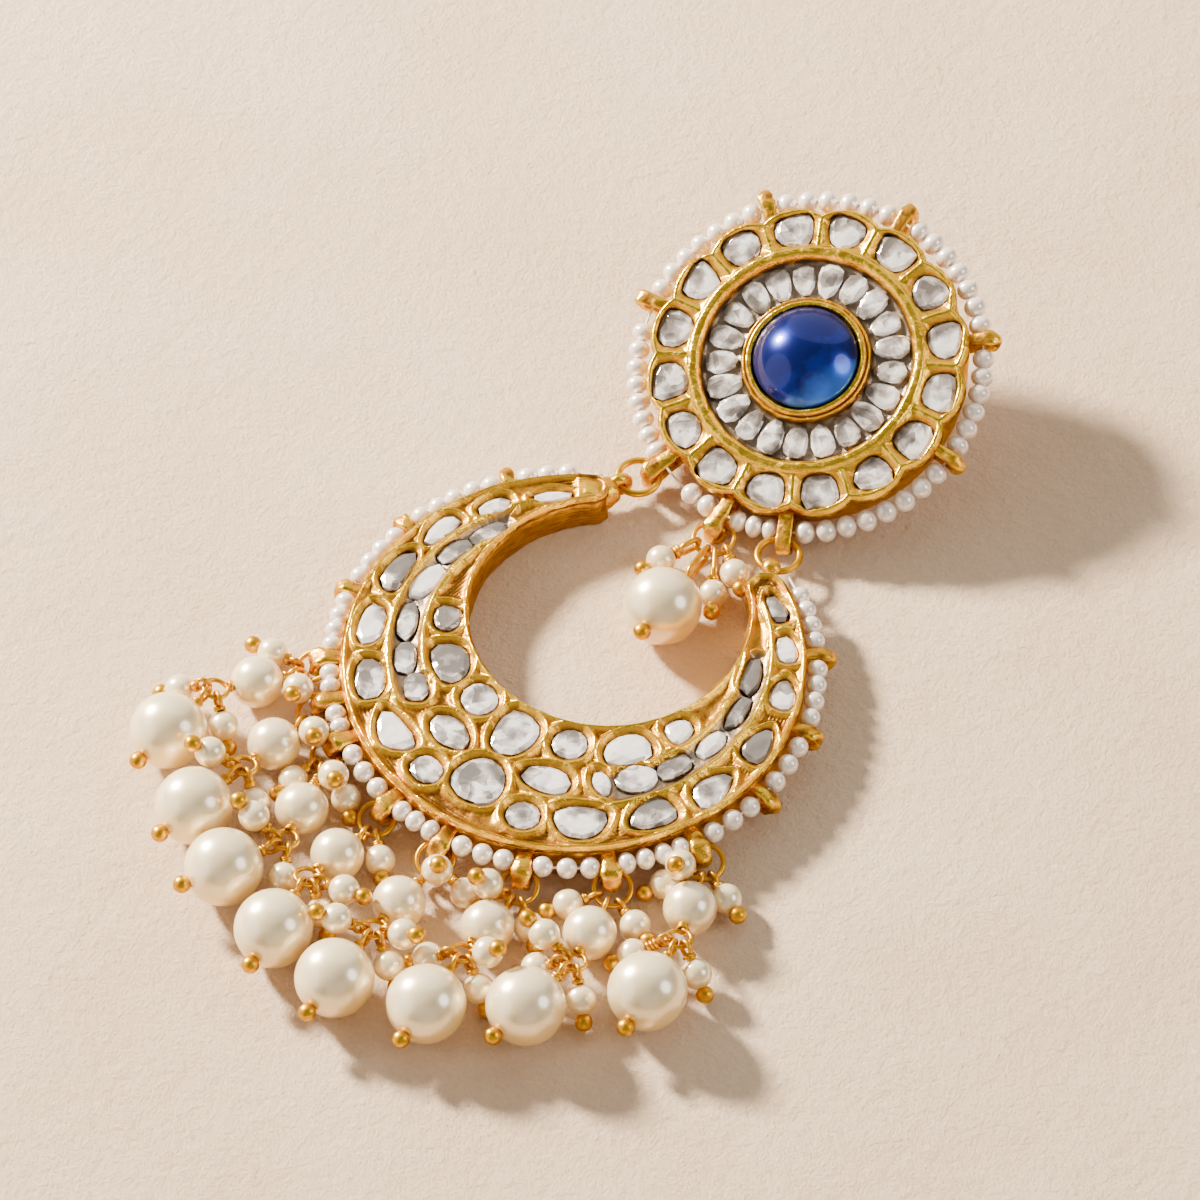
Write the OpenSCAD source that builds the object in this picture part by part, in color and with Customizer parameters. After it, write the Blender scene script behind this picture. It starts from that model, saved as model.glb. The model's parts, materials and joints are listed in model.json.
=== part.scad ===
// Kundan chandbali earring, lying face up on a table.
// Y runs from the fringe to the ear disc, Z is up, X is across.
// All lengths are in millimetres and all angles in degrees.

/* [Crescent] */
// Outer radius of the crescent
crescent_r = 22.9; // [18:0.1:30]
// Radius of the open bay
bay_r = 13.85; // [10:0.05:18]
// How far the bay is shifted towards the ear disc
bay_shift = 6.7; // [4:0.1:9]
// Height of the crescent
crescent_height = 5; // [3:0.1:7]
// Metal left under the stones of the crescent
crescent_floor = 3.2; // [1:0.1:5]
// Depth of the stones' tables below the crescent's face
crescent_sink = 0.1; // [0:0.05:0.5]
// Angle of the left horn, from the bottom of the crescent
left_horn = -158; // [-165:1:-140]
// Angle of the right horn, from the bottom of the crescent
right_horn = 150; // [140:1:165]
// Half width of the raised walls on the crescent
ridge_r = 0.45; // [0.2:0.05:0.8]
// How far the straps stand out from the crescent
crescent_strap = 2.7; // [2.4:0.1:4]
// Height of the middle of the straps on the crescent
strap_z = 2.5; // [2:0.1:3.5]

/* [Ear disc] */
// Radius over the lobes of the disc
disc_r = 16.6; // [12:0.1:22]
// Thickness of the disc
disc_height = 4.5; // [3:0.1:6]
// Lean of the disc as it lies on its ear post
disc_tilt = 22; // [10:1:30]
// Distance from the crescent's centre to the disc's centre
disc_y = 40.4; // [38:0.1:46]
// Sideways shift of the disc
disc_x = 3; // [-2:0.1:8]
// Number of lobes and outer stones
lobes = 16; // [10:1:20]
// Radius of the circle of outer stones
outer_ring_r = 14.1; // [10:0.05:18]
// Radius of the raised middle ring
middle_ring_r = 11.6; // [8:0.1:15]
// Width of the raised middle ring
middle_ring_w = 1.5; // [0.8:0.1:2.5]
// Metal left under the stones of the disc
disc_floor = 2.9; // [1:0.1:4]
// Depth of the outer stones' tables below the disc's face
outer_sink = 0.25; // [0:0.05:0.8]
// Depth of the inner stones' tables below the disc's face
inner_sink = 0.35; // [0:0.05:0.8]
// Outer radius of the bezel
bezel_r = 6.5; // [4:0.1:8]
// Wall of the bezel
bezel_wall = 1.1; // [0.5:0.05:2]
// Height of the bezel above the face
bezel_rise = 0.6; // [0.2:0.1:1.5]
// Height of the blue dome above its girdle
dome_height = 2.6; // [1:0.1:4]
// How far the straps stand out from the disc
disc_strap = 3.6; // [3:0.1:5]
// Depth of the middle of the straps below the disc's face
disc_strap_z = 1.9; // [1.6:0.1:3]

/* [Ear post] */
// Radius of the post
post_r = 0.45; // [0.3:0.05:0.8]
// Radius of the pad that holds the post
pad_r = 2.4; // [1:0.1:4]
// Thickness of the pad
pad_height = 0.8; // [0.4:0.1:1.5]
// Distance of the post from the disc's centre
post_shift = 7; // [0:0.5:10]

/* [Straps and rings] */
// Half height of the opening in a strap
strap_hole = 0.75; // [0.5:0.05:1.2]
// Thickness of a strap
strap_wall = 0.5; // [0.3:0.05:0.8]
// Width of a strap
strap_w = 1.6; // [0.8:0.1:2.5]
// Radius of a jump ring, to the middle of its wire
ring_r = 1.8; // [1.5:0.05:2.5]
// Radius of the centre drop's ring
centre_ring_r = 2.1; // [1.5:0.05:2.8]
// Wire of the jump rings
ring_wire = 0.44; // [0.3:0.02:0.7]
// Wire of the two rings that join the disc and the crescent
link_wire = 0.6; // [0.4:0.05:0.9]
// Radius of the horn eyes, to the middle of their wire
horn_eye_r = 0.95; // [0.8:0.05:1.4]
// Wire of the horn eyes
horn_wire = 0.84; // [0.5:0.02:1]
// How steeply the jump rings hang from the crescent
ring_dip = 16; // [0:1:30]

/* [Wires] */
// Wire of the head pins and links
wire = 0.4; // [0.3:0.02:0.6]
// Eye of a small pearl's pin
small_eye = 0.7; // [0.6:0.05:1]
// Upper eye of a middle pearl's link
upper_eye = 0.85; // [0.7:0.05:1.2]
// Lower eye of a middle pearl's link
lower_eye = 1.2; // [1:0.05:1.6]
// Eye of a big pearl's pin
big_eye = 0.85; // [0.7:0.05:1.2]
// Half width of the centre pearl's eye
centre_eye = 0.95; // [0.8:0.05:1.4]
// Half width of the eyes of the small pearls beside it
centre_small_eye = 0.75; // [0.6:0.05:1]
// Wrapped neck of the centre pearl's pin
centre_neck = 1.2; // [0.6:0.1:2]
// Wrapped neck of a small pearl's pin
small_neck = 0.45; // [0.3:0.05:1]
// Wrapped neck of the larger pearls
large_neck = 0.6; // [0.3:0.05:1.2]
// Radius of the wrapped neck
neck_r = 0.42; // [0.3:0.02:0.8]
// Radius of the ball at the end of a head pin
ball_r = 0.68; // [0.5:0.05:1.1]
// How far inside the crescent's rim the horn eyes are seated
eye_inset = 0.5; // [0.2:0.05:1]
// Free play between two wires that hook into each other
play = 0.15; // [0.08:0.01:0.3]

/* [Pearls] */
// Radius of the small pearls
small_pearl_r = 1.5; // [1:0.05:2]
// Radius of the middle pearls
middle_pearl_r = 2.6; // [2:0.05:3.2]
// Radius of the big pearls
big_pearl_r = 3.8; // [3:0.05:4.5]
// Radius of the centre drop's pearl
centre_pearl_r = 3.9; // [3:0.05:4.6]
// Radius of the seed pearls
seed_r = 1; // [0.6:0.05:1.4]
// Height of the seed pearls beside the crescent
seed_z = 3.1; // [2:0.1:4]
// Depth of the seed pearls below the disc's face
disc_seed_z = 2.3; // [1:0.1:4]
// Bore of the pearls around the wire
bore_play = 0.1; // [0.05:0.01:0.3]

/* [Fit] */
// Clearance between a stone and its pocket
stone_gap = 0.06; // [0.02:0.01:0.2]
// Clearance between a pearl and the ball that holds it
ball_gap = 0.06; // [0.02:0.01:0.2]
// Clearance between pieces that lie side by side
side_gap = 0.1; // [0.05:0.01:0.3]
// Clearance between the crescent and its string of seed pearls
crescent_string_gap = 0.14; // [0.05:0.01:0.4]
// Clearance between the disc and its string of seed pearls
disc_string_gap = 0.2; // [0.05:0.01:0.4]
// Gap between the lowest pieces and the table
rest = 0.05; // [0.02:0.01:0.2]

/* [Hidden] */

$fn = 48;
GOLD = [0.83, 0.62, 0.25];
WIRE_GOLD = [0.85, 0.58, 0.22];
PEARL = [0.95, 0.91, 0.84];
CLEAR = [0.80, 0.80, 0.82];
BLUE = [0.05, 0.15, 0.60];
STEEL = [0.80, 0.66, 0.34];

// Stones of the crescent.
// Columns: angle from the bottom, distance as a share of crescent_r,
// half length and half width as shares of crescent_r, taper, turn.
// A positive taper makes the outer side wider.
OUTER_STONES = [
  [-143, 0.880, 0.090, 0.027, 0, 0],
  [-126, 0.890, 0.074, 0.042, 0, 0],
  [-109, 0.903, 0.094, 0.044, -0.1, 4],
  [-91, 0.895, 0.114, 0.052, -0.1, 3],
  [-71, 0.887, 0.104, 0.055, 0.15, -2],
  [-52, 0.874, 0.102, 0.064, 0.1, -6],
  [-33, 0.858, 0.105, 0.062, -0.25, -2],
  [-16, 0.849, 0.072, 0.064, 0, 0],
  [16.5, 0.842, 0.072, 0.066, 0, 0],
  [33, 0.853, 0.105, 0.078, -0.25, -6],
  [53, 0.875, 0.098, 0.068, 0.1, 8],
  [72, 0.900, 0.100, 0.062, 0.15, 4],
  [91, 0.910, 0.092, 0.058, 0.1, 0],
  [109, 0.912, 0.075, 0.054, 0.1, 5],
  [124, 0.912, 0.068, 0.045, 0.1, 12],
  [138, 0.912, 0.078, 0.038, 0.1, 6]
];
MIDDLE_STONES = [
  [-120, 0.772, 0.094, 0.040, 0, 2],
  [-107, 0.776, 0.080, 0.043, 0, -6],
  [-92, 0.760, 0.104, 0.048, 0, -6],
  [-75, 0.745, 0.102, 0.042, 0, 8],
  [-59.5, 0.722, 0.078, 0.046, 0, -2],
  [-46.5, 0.688, 0.068, 0.050, 0, -10],
  [-22.5, 0.650, 0.106, 0.068, 0, 5],
  [-1, 0.747, 0.110, 0.112, 0.15, 0],
  [-1, 0.470, 0.088, 0.112, -0.15, 0],
  [20.5, 0.641, 0.108, 0.062, 0, -10],
  [41.5, 0.660, 0.036, 0.062, 0, 10],
  [54, 0.681, 0.086, 0.064, 0, -12],
  [68, 0.709, 0.076, 0.046, 0, -6],
  [83.5, 0.739, 0.080, 0.042, 0, -5],
  [99, 0.757, 0.096, 0.034, 0, -8],
  [114, 0.768, 0.094, 0.040, 0, -8]
];
INNER_STONES = [
  [-80.5, 0.585, 0.064, 0.060, 0, 4],
  [-56.5, 0.525, 0.100, 0.078, 0.15, 8],
  [-31, 0.454, 0.080, 0.076, 0, 0],
  [29, 0.450, 0.074, 0.073, 0, 0],
  [56.5, 0.530, 0.100, 0.072, 0.15, -10],
  [81, 0.588, 0.060, 0.055, 0.1, -10]
];

// Outer stones of the disc, one per lobe, used again where the lobes
// outnumber the rows.
// Columns: half length across and half length outwards as shares of
// outer_ring_r, taper, turn.
DISC_OUTER = [
  [0.138, 0.114, 0.15, 4], [0.134, 0.122, 0.10, -5], [0.129, 0.125, 0.10, 6],
  [0.138, 0.114, 0.12, 0], [0.129, 0.122, 0.15, 5], [0.135, 0.118, 0.05, -4],
  [0.131, 0.125, 0.12, 3], [0.127, 0.121, 0.10, 0], [0.135, 0.123, 0.14, -6],
  [0.133, 0.125, 0.10, 4], [0.138, 0.118, 0.15, 0], [0.131, 0.123, 0.08, 6],
  [0.135, 0.121, 0.12, -3], [0.129, 0.125, 0.10, 2], [0.133, 0.114, 0.14, -5],
  [0.131, 0.121, 0.10, 3]
];
// Inner stones of the disc.
// Columns: half length across and half length outwards as shares of the
// channel's width, taper, turn.
DISC_INNER = [
  [0.265, 0.40, 0.25, 0], [0.255, 0.37, 0.20, 6], [0.265, 0.42, 0.15, -4],
  [0.250, 0.36, 0.25, 0], [0.265, 0.41, 0.20, 5], [0.255, 0.39, 0.15, -6],
  [0.260, 0.42, 0.25, 0], [0.250, 0.37, 0.20, 4], [0.265, 0.40, 0.20, 0],
  [0.260, 0.42, 0.15, -5], [0.250, 0.38, 0.25, 3], [0.265, 0.41, 0.20, 0],
  [0.255, 0.37, 0.15, 6], [0.260, 0.42, 0.20, -3], [0.265, 0.40, 0.25, 0],
  [0.250, 0.38, 0.20, 4], [0.260, 0.42, 0.15, 0], [0.265, 0.39, 0.20, -6],
  [0.255, 0.41, 0.25, 3], [0.260, 0.38, 0.20, 0], [0.265, 0.42, 0.15, 4]
];

// Straps of the crescent that carry only the string of seed pearls.
PLAIN_STRAPS = [-133, -105, -82, 81, 101.5, 124];
// Straps of the disc, angles counted from the right in its own plane.
DISC_STRAPS = [-177, -118, -91, -69, -9, 33, 85, 132];

// Drops of the fringe.
// Columns: strap angle, where the link hooks, its bearing, where the big
// pearl hooks, its bearing, added neck as a share of middle_pearl_r.
DROPS = [
  [-61, -36, -36, -20, -8, 0],
  [-49, -16, -8, -10, -14, 0],
  [-37, 10, 12, -18, -30, 0.54],
  [-16.5, -8, -8, 0, 4, 0],
  [0, -2, 0, -2, -2, 0.19],
  [19.5, 2, 0, 2, 0, 0],
  [39.5, 10, 10, -6, -12, 0],
  [60.5, 20, 16, 6, 4, 0]
];

// Small pearls of the fringe.
// Columns: drop, host (0 jump ring, 1 lower eye), where the pin hooks,
// its bearing, lift off the table and added neck as shares of
// small_pearl_r.
SMALL_PINS = [
  [1, 0, -80, -84, 0.1, 0], [1, 0, 5, 16, 1.3, 0],
  [1, 1, -75, -66, 0.8, 0], [1, 1, 40, 46, 0.5, 0],
  [2, 0, 28, 34, 1.5, 0], [2, 1, -68, -58, 2.8, 0],
  [2, 1, 45, 48, 0.5, 0],
  [3, 0, -30, -12, 0, 0], [3, 0, 38, 40, 1.9, 0.53],
  [3, 0, 68, 43, 0, 0.62], [3, 1, -80, -90, 2.4, 0],
  [3, 1, 42, 24, 0.5, 0],
  [4, 0, 30, 38, 0, 0], [4, 1, 98, 93, 1.75, 0],
  [4, 1, 54, 52, 0.5, 0],
  [5, 0, 30, 44, 1.75, 0], [5, 0, 64, 72, 0, 0.07],
  [5, 1, -60, -60, 2.5, 0], [5, 1, 98, 84, 2.6, 0],
  [5, 1, 52, 54, 0.5, 0],
  [6, 0, -34, -40, 1.7, 0], [6, 0, 38, 46, 0, 0],
  [6, 1, -55, -70, 0.5, 0], [6, 1, 98, 84, 3, 0],
  [6, 1, 56, 56, 0.5, 0],
  [7, 0, -34, -42, 0, 0], [7, 0, 52, 64, 0, 0],
  [7, 1, -110, -99, 2, 0], [7, 1, -62, -63, 0.5, 0],
  [7, 1, 45, 40, 0.6, 0],
  [8, 0, -45, 8, 1.9, 0], [8, 0, -14, -36, 0, 0],
  [8, 0, 56, 60, 0, 0], [8, 1, -50, -47, 0.5, 0.53],
  [8, 1, 60, 58, 0.5, 0]
];

// Pins on the centre drop's ring.
// Columns: where the pin hooks, its bearing, lift and drawn-out length of
// the eye as shares of the pearl's radius, 1 for the large pearl.
CENTRE_PINS = [
  [8, 3, 0, 0.82, 1],
  [-38, -28, 0.1, 0.6, 0],
  [32, 28, 0.05, 1.26, 0],
  [66, 46, 0.35, 0.1, 0]
];

// Directions and places.
function dirv(b, e) = [sin(b) * cos(e), -cos(b) * cos(e), sin(e)];
function unit(v) = v / norm(v);
function spot(a, r, z) = [r * sin(a), -r * cos(a), z];

// The disc's own axes and centre, before the whole earring is centred.
disc_up = [0, -sin(disc_tilt), cos(disc_tilt)];
disc_v = [0, cos(disc_tilt), sin(disc_tilt)];
disc_z = disc_r * sin(disc_tilt) + disc_height * cos(disc_tilt) + rest;
disc_c = [disc_x, disc_y, disc_z];
function on_disc(a, r, depth) =
  disc_c + [r * cos(a), 0, 0] + r * sin(a) * disc_v - depth * disc_up;

// A ring is a list: centre, normal, radius, wire radius.
function hook_dir(ring, hb) =
  let (h = dirv(hb, 0)) unit(h - (h * ring[1]) * ring[1]);
function hook_spot(ring, hb) = ring[0] + ring[2] * hook_dir(ring, hb);
function hook_in(ring, eye) = eye - ring[3] - wire / 2 - play;

// A link is a list: eye centre, eye normal, direction, eye radius,
// neck length, pearl radius, pearl centre.
function link(ring, hb, bearing, lift, eye, neck, pearl_r) =
  let (
    p = hook_spot(ring, hb),
    reach = hook_in(ring, eye) + eye + neck + pearl_r,
    e = asin((pearl_r * (1 + lift) + rest - p[2]) / reach),
    d = dirv(bearing, e),
    t = cross(ring[1], hook_dir(ring, hb)),
    n = unit(t - (t * d) * d),
    c = p + d * hook_in(ring, eye)
  ) [c, n, d, eye, neck, pearl_r, c + d * (eye + neck + pearl_r)];
bore_r = wire / 2 + bore_play;
function ball_step(pearl_r) =
  sqrt(pow(pearl_r, 2) - pow(bore_r, 2))
  + sqrt(pow(ball_r, 2) - pow(bore_r, 2)) + ball_gap;
function link_ball(l) = l[6] + l[2] * ball_step(l[5]);

// The jump ring of one drop.
strap_reach = crescent_r + crescent_strap - strap_wall - strap_hole;
function drop_ring_of(i) =
  let (
    a = DROPS[i][0],
    dj = dirv(a, -ring_dip),
    p = spot(a, strap_reach - strap_hole / 2, strap_z),
    t = [cos(a), sin(a), 0]
  ) [p + dj * ring_r, unit(cross(dj, t)), ring_r, ring_wire / 2];
function middle_link(i) =
  link(drop_ring_of(i), DROPS[i][1], DROPS[i][2], 0, upper_eye,
       large_neck + DROPS[i][5] * middle_pearl_r, middle_pearl_r);
function lower_eye_of(i) =
  let (
    l = middle_link(i),
    d = l[2],
    s = unit(cross(d, [0, 0, 1]))
  ) [l[6] + d * (l[5] + large_neck + lower_eye), cross(s, d),
     lower_eye, wire / 2];
function big_link(i) =
  link(lower_eye_of(i), DROPS[i][3], DROPS[i][4], 0, big_eye,
       large_neck, big_pearl_r);
function small_link(row) =
  link(row[1] == 0 ? drop_ring_of(row[0] - 1) : lower_eye_of(row[0] - 1),
       row[2], row[3], row[4], small_eye,
       small_neck + row[5] * small_pearl_r, small_pearl_r);

// The ring of the centre drop hangs in a strap of the disc.
disc_hook_r = disc_r + 0.57 * disc_strap;
centre_hook = on_disc(DISC_STRAPS[2], disc_hook_r, disc_strap_z);
centre_dir = dirv(16, 0);
centre_ring_def =
  [centre_hook + centre_dir * centre_ring_r,
   [0, 0, 1], centre_ring_r, ring_wire / 2];
function centre_slack(row) =
  row[3] * (row[4] == 1 ? centre_pearl_r : small_pearl_r);
function centre_link(row) =
  row[4] == 1
    ? link(centre_ring_def, row[0], row[1], row[2], centre_eye,
           centre_neck + centre_slack(row), centre_pearl_r)
    : link(centre_ring_def, row[0], row[1], row[2], centre_small_eye,
           large_neck + centre_slack(row), small_pearl_r);

// Horn ends, horn eyes and the two rings that join them to the disc.
function bay_edge(a) =
  -bay_shift * cos(a) + sqrt(pow(bay_r, 2) - pow(bay_shift * sin(a), 2));
function horn_mid(a) = (crescent_r + bay_edge(a)) / 2;
function horn_half(a) = (crescent_r - bay_edge(a)) / 2;
// The horns end in a round cap that reaches the stated angle.
function horn_cap(a) =
  a - sign(a) * horn_half(a) / horn_mid(a) * 180 / PI;
function horn_base(a) =
  spot(horn_cap(a), horn_mid(horn_cap(a)), strap_z);
left_eye = spot(left_horn, crescent_r - eye_inset, strap_z)
  + (horn_eye_r + horn_wire / 2) * unit([0.25, 1, 0]);
right_eye = spot(right_horn, crescent_r - eye_inset, strap_z)
  + (horn_eye_r + horn_wire / 2) * unit([-0.5, 1, 0]);
function link_hook(strap) =
  on_disc(DISC_STRAPS[strap], disc_hook_r, disc_strap_z);
function eye_hook(eye, strap) =
  let (u = unit(link_hook(strap) - eye))
  eye + u * (horn_eye_r - horn_wire / 2 - link_wire / 2 - play);
function link_ring_def(eye, strap) =
  let (
    p = eye_hook(eye, strap),
    q = link_hook(strap),
    u = unit(q - p),
    s = unit(cross(u, [0, 0, 1]))
  ) [(p + q) / 2, unit(cross(s, u)), norm(q - p) / 2, link_wire / 2];

// Outer limits, used to centre the bounding box in X and Y.
tips = [
  for (i = [0:len(DROPS) - 1]) link_ball(big_link(i)),
  for (row = SMALL_PINS) link_ball(small_link(row))
];
end_r = strap_hole + strap_wall;
function strap_top(a) =
  on_disc(a, disc_r + disc_strap - end_r, disc_strap_z)[1]
  + end_r * norm([sin(a) * cos(disc_tilt), sin(disc_tilt)])
  + strap_w / 2 * abs(cos(a)) * cos(disc_tilt);
low_x = min(min([for (p = tips) p[0] - ball_r]),
            min([for (i = [0:len(DROPS) - 1])
                 big_link(i)[6][0] - big_pearl_r]));
strap_ends = [
  for (a = PLAIN_STRAPS)
    (crescent_r + crescent_strap) * sin(a) + strap_w / 2 * cos(a)
];
high_x = max(max([for (p = tips) p[0] + ball_r]),
             max([for (i = [0:len(DROPS) - 1])
                  big_link(i)[6][0] + big_pearl_r]),
             max(strap_ends),
             crescent_r + crescent_string_gap + 2 * seed_r);
low_y = min([for (p = tips) p[1] - ball_r]);
high_y = max([for (a = DISC_STRAPS) strap_top(a)]);
shift = [-(low_x + high_x) / 2, -(low_y + high_y) / 2, 0];

// Placing helpers.
module frame(c, x, y, z) {
  multmatrix([[x[0], y[0], z[0], c[0]],
              [x[1], y[1], z[1], c[1]],
              [x[2], y[2], z[2], c[2]],
              [0, 0, 0, 1]]) children();
}
module facing(c, n) {
  x = unit(abs(n[2]) > 0.9 ? cross([0, 1, 0], n) : cross([0, 0, 1], n));
  frame(c, x, cross(n, x), n) children();
}
module ring_solid(ring) {
  facing(ring[0], ring[1])
    rotate_extrude() translate([ring[2], 0]) circle(r = ring[3], $fn = 24);
}
module on_face() {
  frame(disc_c, [1, 0, 0], disc_v, disc_up) children();
}

// Wrapped neck in profile, from height 0 to long.
module neck_profile(long) {
  turns = max(2, floor(long / (wire * 0.8)));
  bump = long / turns / 2;
  square([neck_r - bump, long]);
  for (k = [0:turns - 1])
    translate([neck_r - bump, (2 * k + 1) * bump]) circle(r = bump, $fn = 24);
}
module half_disc(r) {
  intersection() {
    circle(r = r);
    translate([0, -r]) square([r, 2 * r]);
  }
}
// An eye, drawn out along the pin by slack where that is above zero.
module long_eye(l, slack) {
  if (slack > 0)
    frame(l[0], cross(l[2], l[1]), l[2], l[1]) {
      rotate([0, 0, 180])
        rotate_extrude(angle = 180)
          translate([l[3], 0]) circle(r = wire / 2, $fn = 24);
      for (s = [-1, 1])
        translate([s * l[3], 0, 0])
          rotate([-90, 0, 0]) cylinder(r = wire / 2, h = slack);
      translate([0, slack, 0])
        rotate_extrude(angle = 180)
          translate([l[3], 0]) circle(r = wire / 2, $fn = 24);
    }
  else
    ring_solid([l[0], l[1], l[3], wire / 2]);
}
// A pin: eye, wrapped neck, stem through the pearl and a ball at the end.
module head_pin(l, slack = 0) {
  eye = l[3];
  neck = l[4] - bore_play / 2;
  far = l[3] + l[4] + l[5] + ball_step(l[5]);
  from = eye + slack;
  union() {
    frame(l[0], l[1], cross(l[2], l[1]), l[2]) {
      rotate_extrude() {
        translate([0, from]) neck_profile(neck - slack);
        translate([0, from]) square([wire / 2, far - from]);
        translate([0, far]) half_disc(ball_r);
      }
    }
    long_eye(l, slack);
  }
}
// A link: two eyes, two wrapped necks and the stem through the pearl.
module eye_link(l, low) {
  eye = l[3];
  neck = l[4] - bore_play / 2;
  far = eye + l[4] + 2 * l[5];
  union() {
    frame(l[0], l[1], cross(l[2], l[1]), l[2]) {
      rotate_extrude() {
        translate([0, eye]) neck_profile(neck);
        translate([0, eye]) square([wire / 2, far + large_neck - eye]);
        translate([0, far + bore_play / 2])
          neck_profile(large_neck - bore_play / 2);
      }
    }
    ring_solid([l[0], l[1], eye, wire / 2]);
    ring_solid(low);
  }
}
module drilled_pearl(l) {
  frame(l[6], l[1], cross(l[2], l[1]), l[2])
    rotate_extrude($fn = 60)
      intersection() {
        circle(r = l[5]);
        translate([bore_r, -l[5]])
          square([l[5], 2 * l[5]]);
      }
}

// Stones: an eight-sided outline with a flat table and sloping facets.
function outline(a, b, taper) = [
  for (k = [0:7])
    let (f = 22.5 + 45 * k, y = b * sin(f) / cos(22.5))
    [a * cos(f) / cos(22.5) * (1 + taper * y / b), y]
];
function lifted(pts, share, z) = [for (p = pts) [share * p[0], share * p[1], z]];
module stone_solid(pts, low, high) {
  girdle = low + 0.45 * (high - low);
  points = concat(lifted(pts, 0.9, low), lifted(pts, 1, girdle),
                  lifted(pts, 0.62, high));
  faces = concat(
    [[for (k = [0:7]) k]],
    [for (k = [0:7]) [k, 8 + k, 8 + (k + 1) % 8, (k + 1) % 8]],
    [for (k = [0:7]) [8 + k, 16 + k, 16 + (k + 1) % 8, 8 + (k + 1) % 8]],
    [[for (k = [0:7]) 23 - k]]
  );
  polyhedron(points, faces);
}
module at_stone(row) {
  rotate([0, 0, row[0]]) translate([0, -row[1] * crescent_r, 0])
    rotate([0, 0, 180 + row[5]]) children();
}
module crescent_stones(rows) {
  for (row = rows)
    at_stone(row)
      stone_solid(outline(row[2] * crescent_r - stone_gap,
                          row[3] * crescent_r - stone_gap, row[4]),
                  crescent_floor + stone_gap,
                  crescent_height - crescent_sink);
}
module crescent_pockets(rows) {
  for (row = rows)
    at_stone(row)
      translate([0, 0, crescent_floor])
        linear_extrude(height = crescent_height)
          polygon(outline(row[2] * crescent_r, row[3] * crescent_r, row[4]));
}

// Straps: a bent band with a long opening, built into the wall.
module strap_solid(out) {
  tip = out - strap_hole - strap_wall;
  root = strap_hole + 0.6 * strap_wall;
  rotate([90, 0, 0])
    linear_extrude(height = strap_w, center = true)
      difference() {
        union() {
          translate([-0.75 * strap_w, -strap_hole - strap_wall])
            square([tip + 0.75 * strap_w, 2 * (strap_hole + strap_wall)]);
          translate([tip, 0]) circle(r = strap_hole + strap_wall);
        }
        translate([min(root, tip - 0.05), 0]) circle(r = strap_hole);
        translate([min(root, tip - 0.05), -strap_hole])
          square([max(0.05, tip - root), 2 * strap_hole]);
        translate([tip, 0]) circle(r = strap_hole);
      }
}
module crescent_straps() {
  for (a = concat(PLAIN_STRAPS, [for (d = DROPS) d[0]]))
    rotate([0, 0, a - 90])
      translate([crescent_r, 0, strap_z])
        strap_solid(crescent_strap);
}

// Crescent.
module crescent_outline() {
  l = horn_cap(left_horn);
  r = horn_cap(right_horn);
  far = 2 * crescent_r;
  difference() {
    circle(r = crescent_r, $fn = 90);
    translate([0, bay_shift]) circle(r = bay_r, $fn = 90);
    polygon([[0, 0], [far * sin(r), -far * cos(r)], [0, 2 * far],
             [far * sin(l), -far * cos(l)]]);
  }
  for (a = [l, r])
    translate(horn_mid(a) * [sin(a), -cos(a)]) circle(r = horn_half(a));
}
module ridge(r, off, from, to) {
  translate([0, off, crescent_height - 0.22 * ridge_r])
    rotate([0, 0, from - 90])
      rotate_extrude(angle = to - from)
        translate([r, 0]) circle(r = ridge_r, $fn = 24);
}
module horn_eye_solid(a, eye, strap) {
  base = horn_base(a);
  u = unit(eye - base);
  d = unit(link_hook(strap) - eye);
  n = unit(cross([0, 0, 1], d));
  ring_solid([eye, n, horn_eye_r, horn_wire / 2]);
  frame(base, cross([0, 0, 1], u), [0, 0, 1], u)
    cylinder(r = horn_wire * 0.7, h = norm(eye - base) - horn_eye_r);
}
module crescent_setting() {
  color(GOLD)
  translate(shift)
  difference() {
    union() {
      linear_extrude(height = crescent_height) crescent_outline();
      for (s = [-1, 1]) {
        ridge(0.825 * crescent_r, 0.052 * crescent_r,
              s > 0 ? 42 : -138, s > 0 ? 138 : -42);
        ridge(0.694 * crescent_r, 0.087 * crescent_r,
              s > 0 ? 48 : -122, s > 0 ? 118 : -48);
      }
      crescent_straps();
      horn_eye_solid(left_horn, left_eye, 1);
      horn_eye_solid(right_horn, right_eye, 3);
    }
    crescent_pockets(OUTER_STONES);
    crescent_pockets(MIDDLE_STONES);
    crescent_pockets(INNER_STONES);
  }
}
module crescent_outer_stones() {
  color(CLEAR) translate(shift) crescent_stones(OUTER_STONES);
}
module crescent_middle_stones() {
  color(CLEAR) translate(shift) crescent_stones(MIDDLE_STONES);
}
module crescent_inner_stones() {
  color(CLEAR) translate(shift) crescent_stones(INNER_STONES);
}

// Strings of seed pearls: eight-sided tubes between the straps.
module tube_span(r, z, from, to) {
  steps = max(1, ceil((to - from) * PI / 180 * r / (4.3 * seed_r)));
  angles = [for (k = [0:steps]) from + (to - from) * k / steps];
  points = [
    for (a = angles)
      for (k = [0:7])
        let (f = 45 * k, q = r + seed_r * cos(f))
        [q * cos(a), q * sin(a), z + seed_r * sin(f)]
  ];
  faces = concat(
    [[for (k = [0:7]) 7 - k]],
    [for (j = [0:steps - 1])
      for (k = [0:7])
        [8 * j + k, 8 * j + (k + 1) % 8,
         8 * j + 8 + (k + 1) % 8, 8 * j + 8 + k]],
    [[for (k = [0:7]) 8 * steps + k]]
  );
  polyhedron(points, faces);
}
// Free angle beside a strap, for a string at radius r.
function beside(r, gap) = (gap + side_gap) / (r - seed_r) * 180 / PI;
crescent_seed_r = crescent_r + crescent_string_gap + seed_r;
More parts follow.
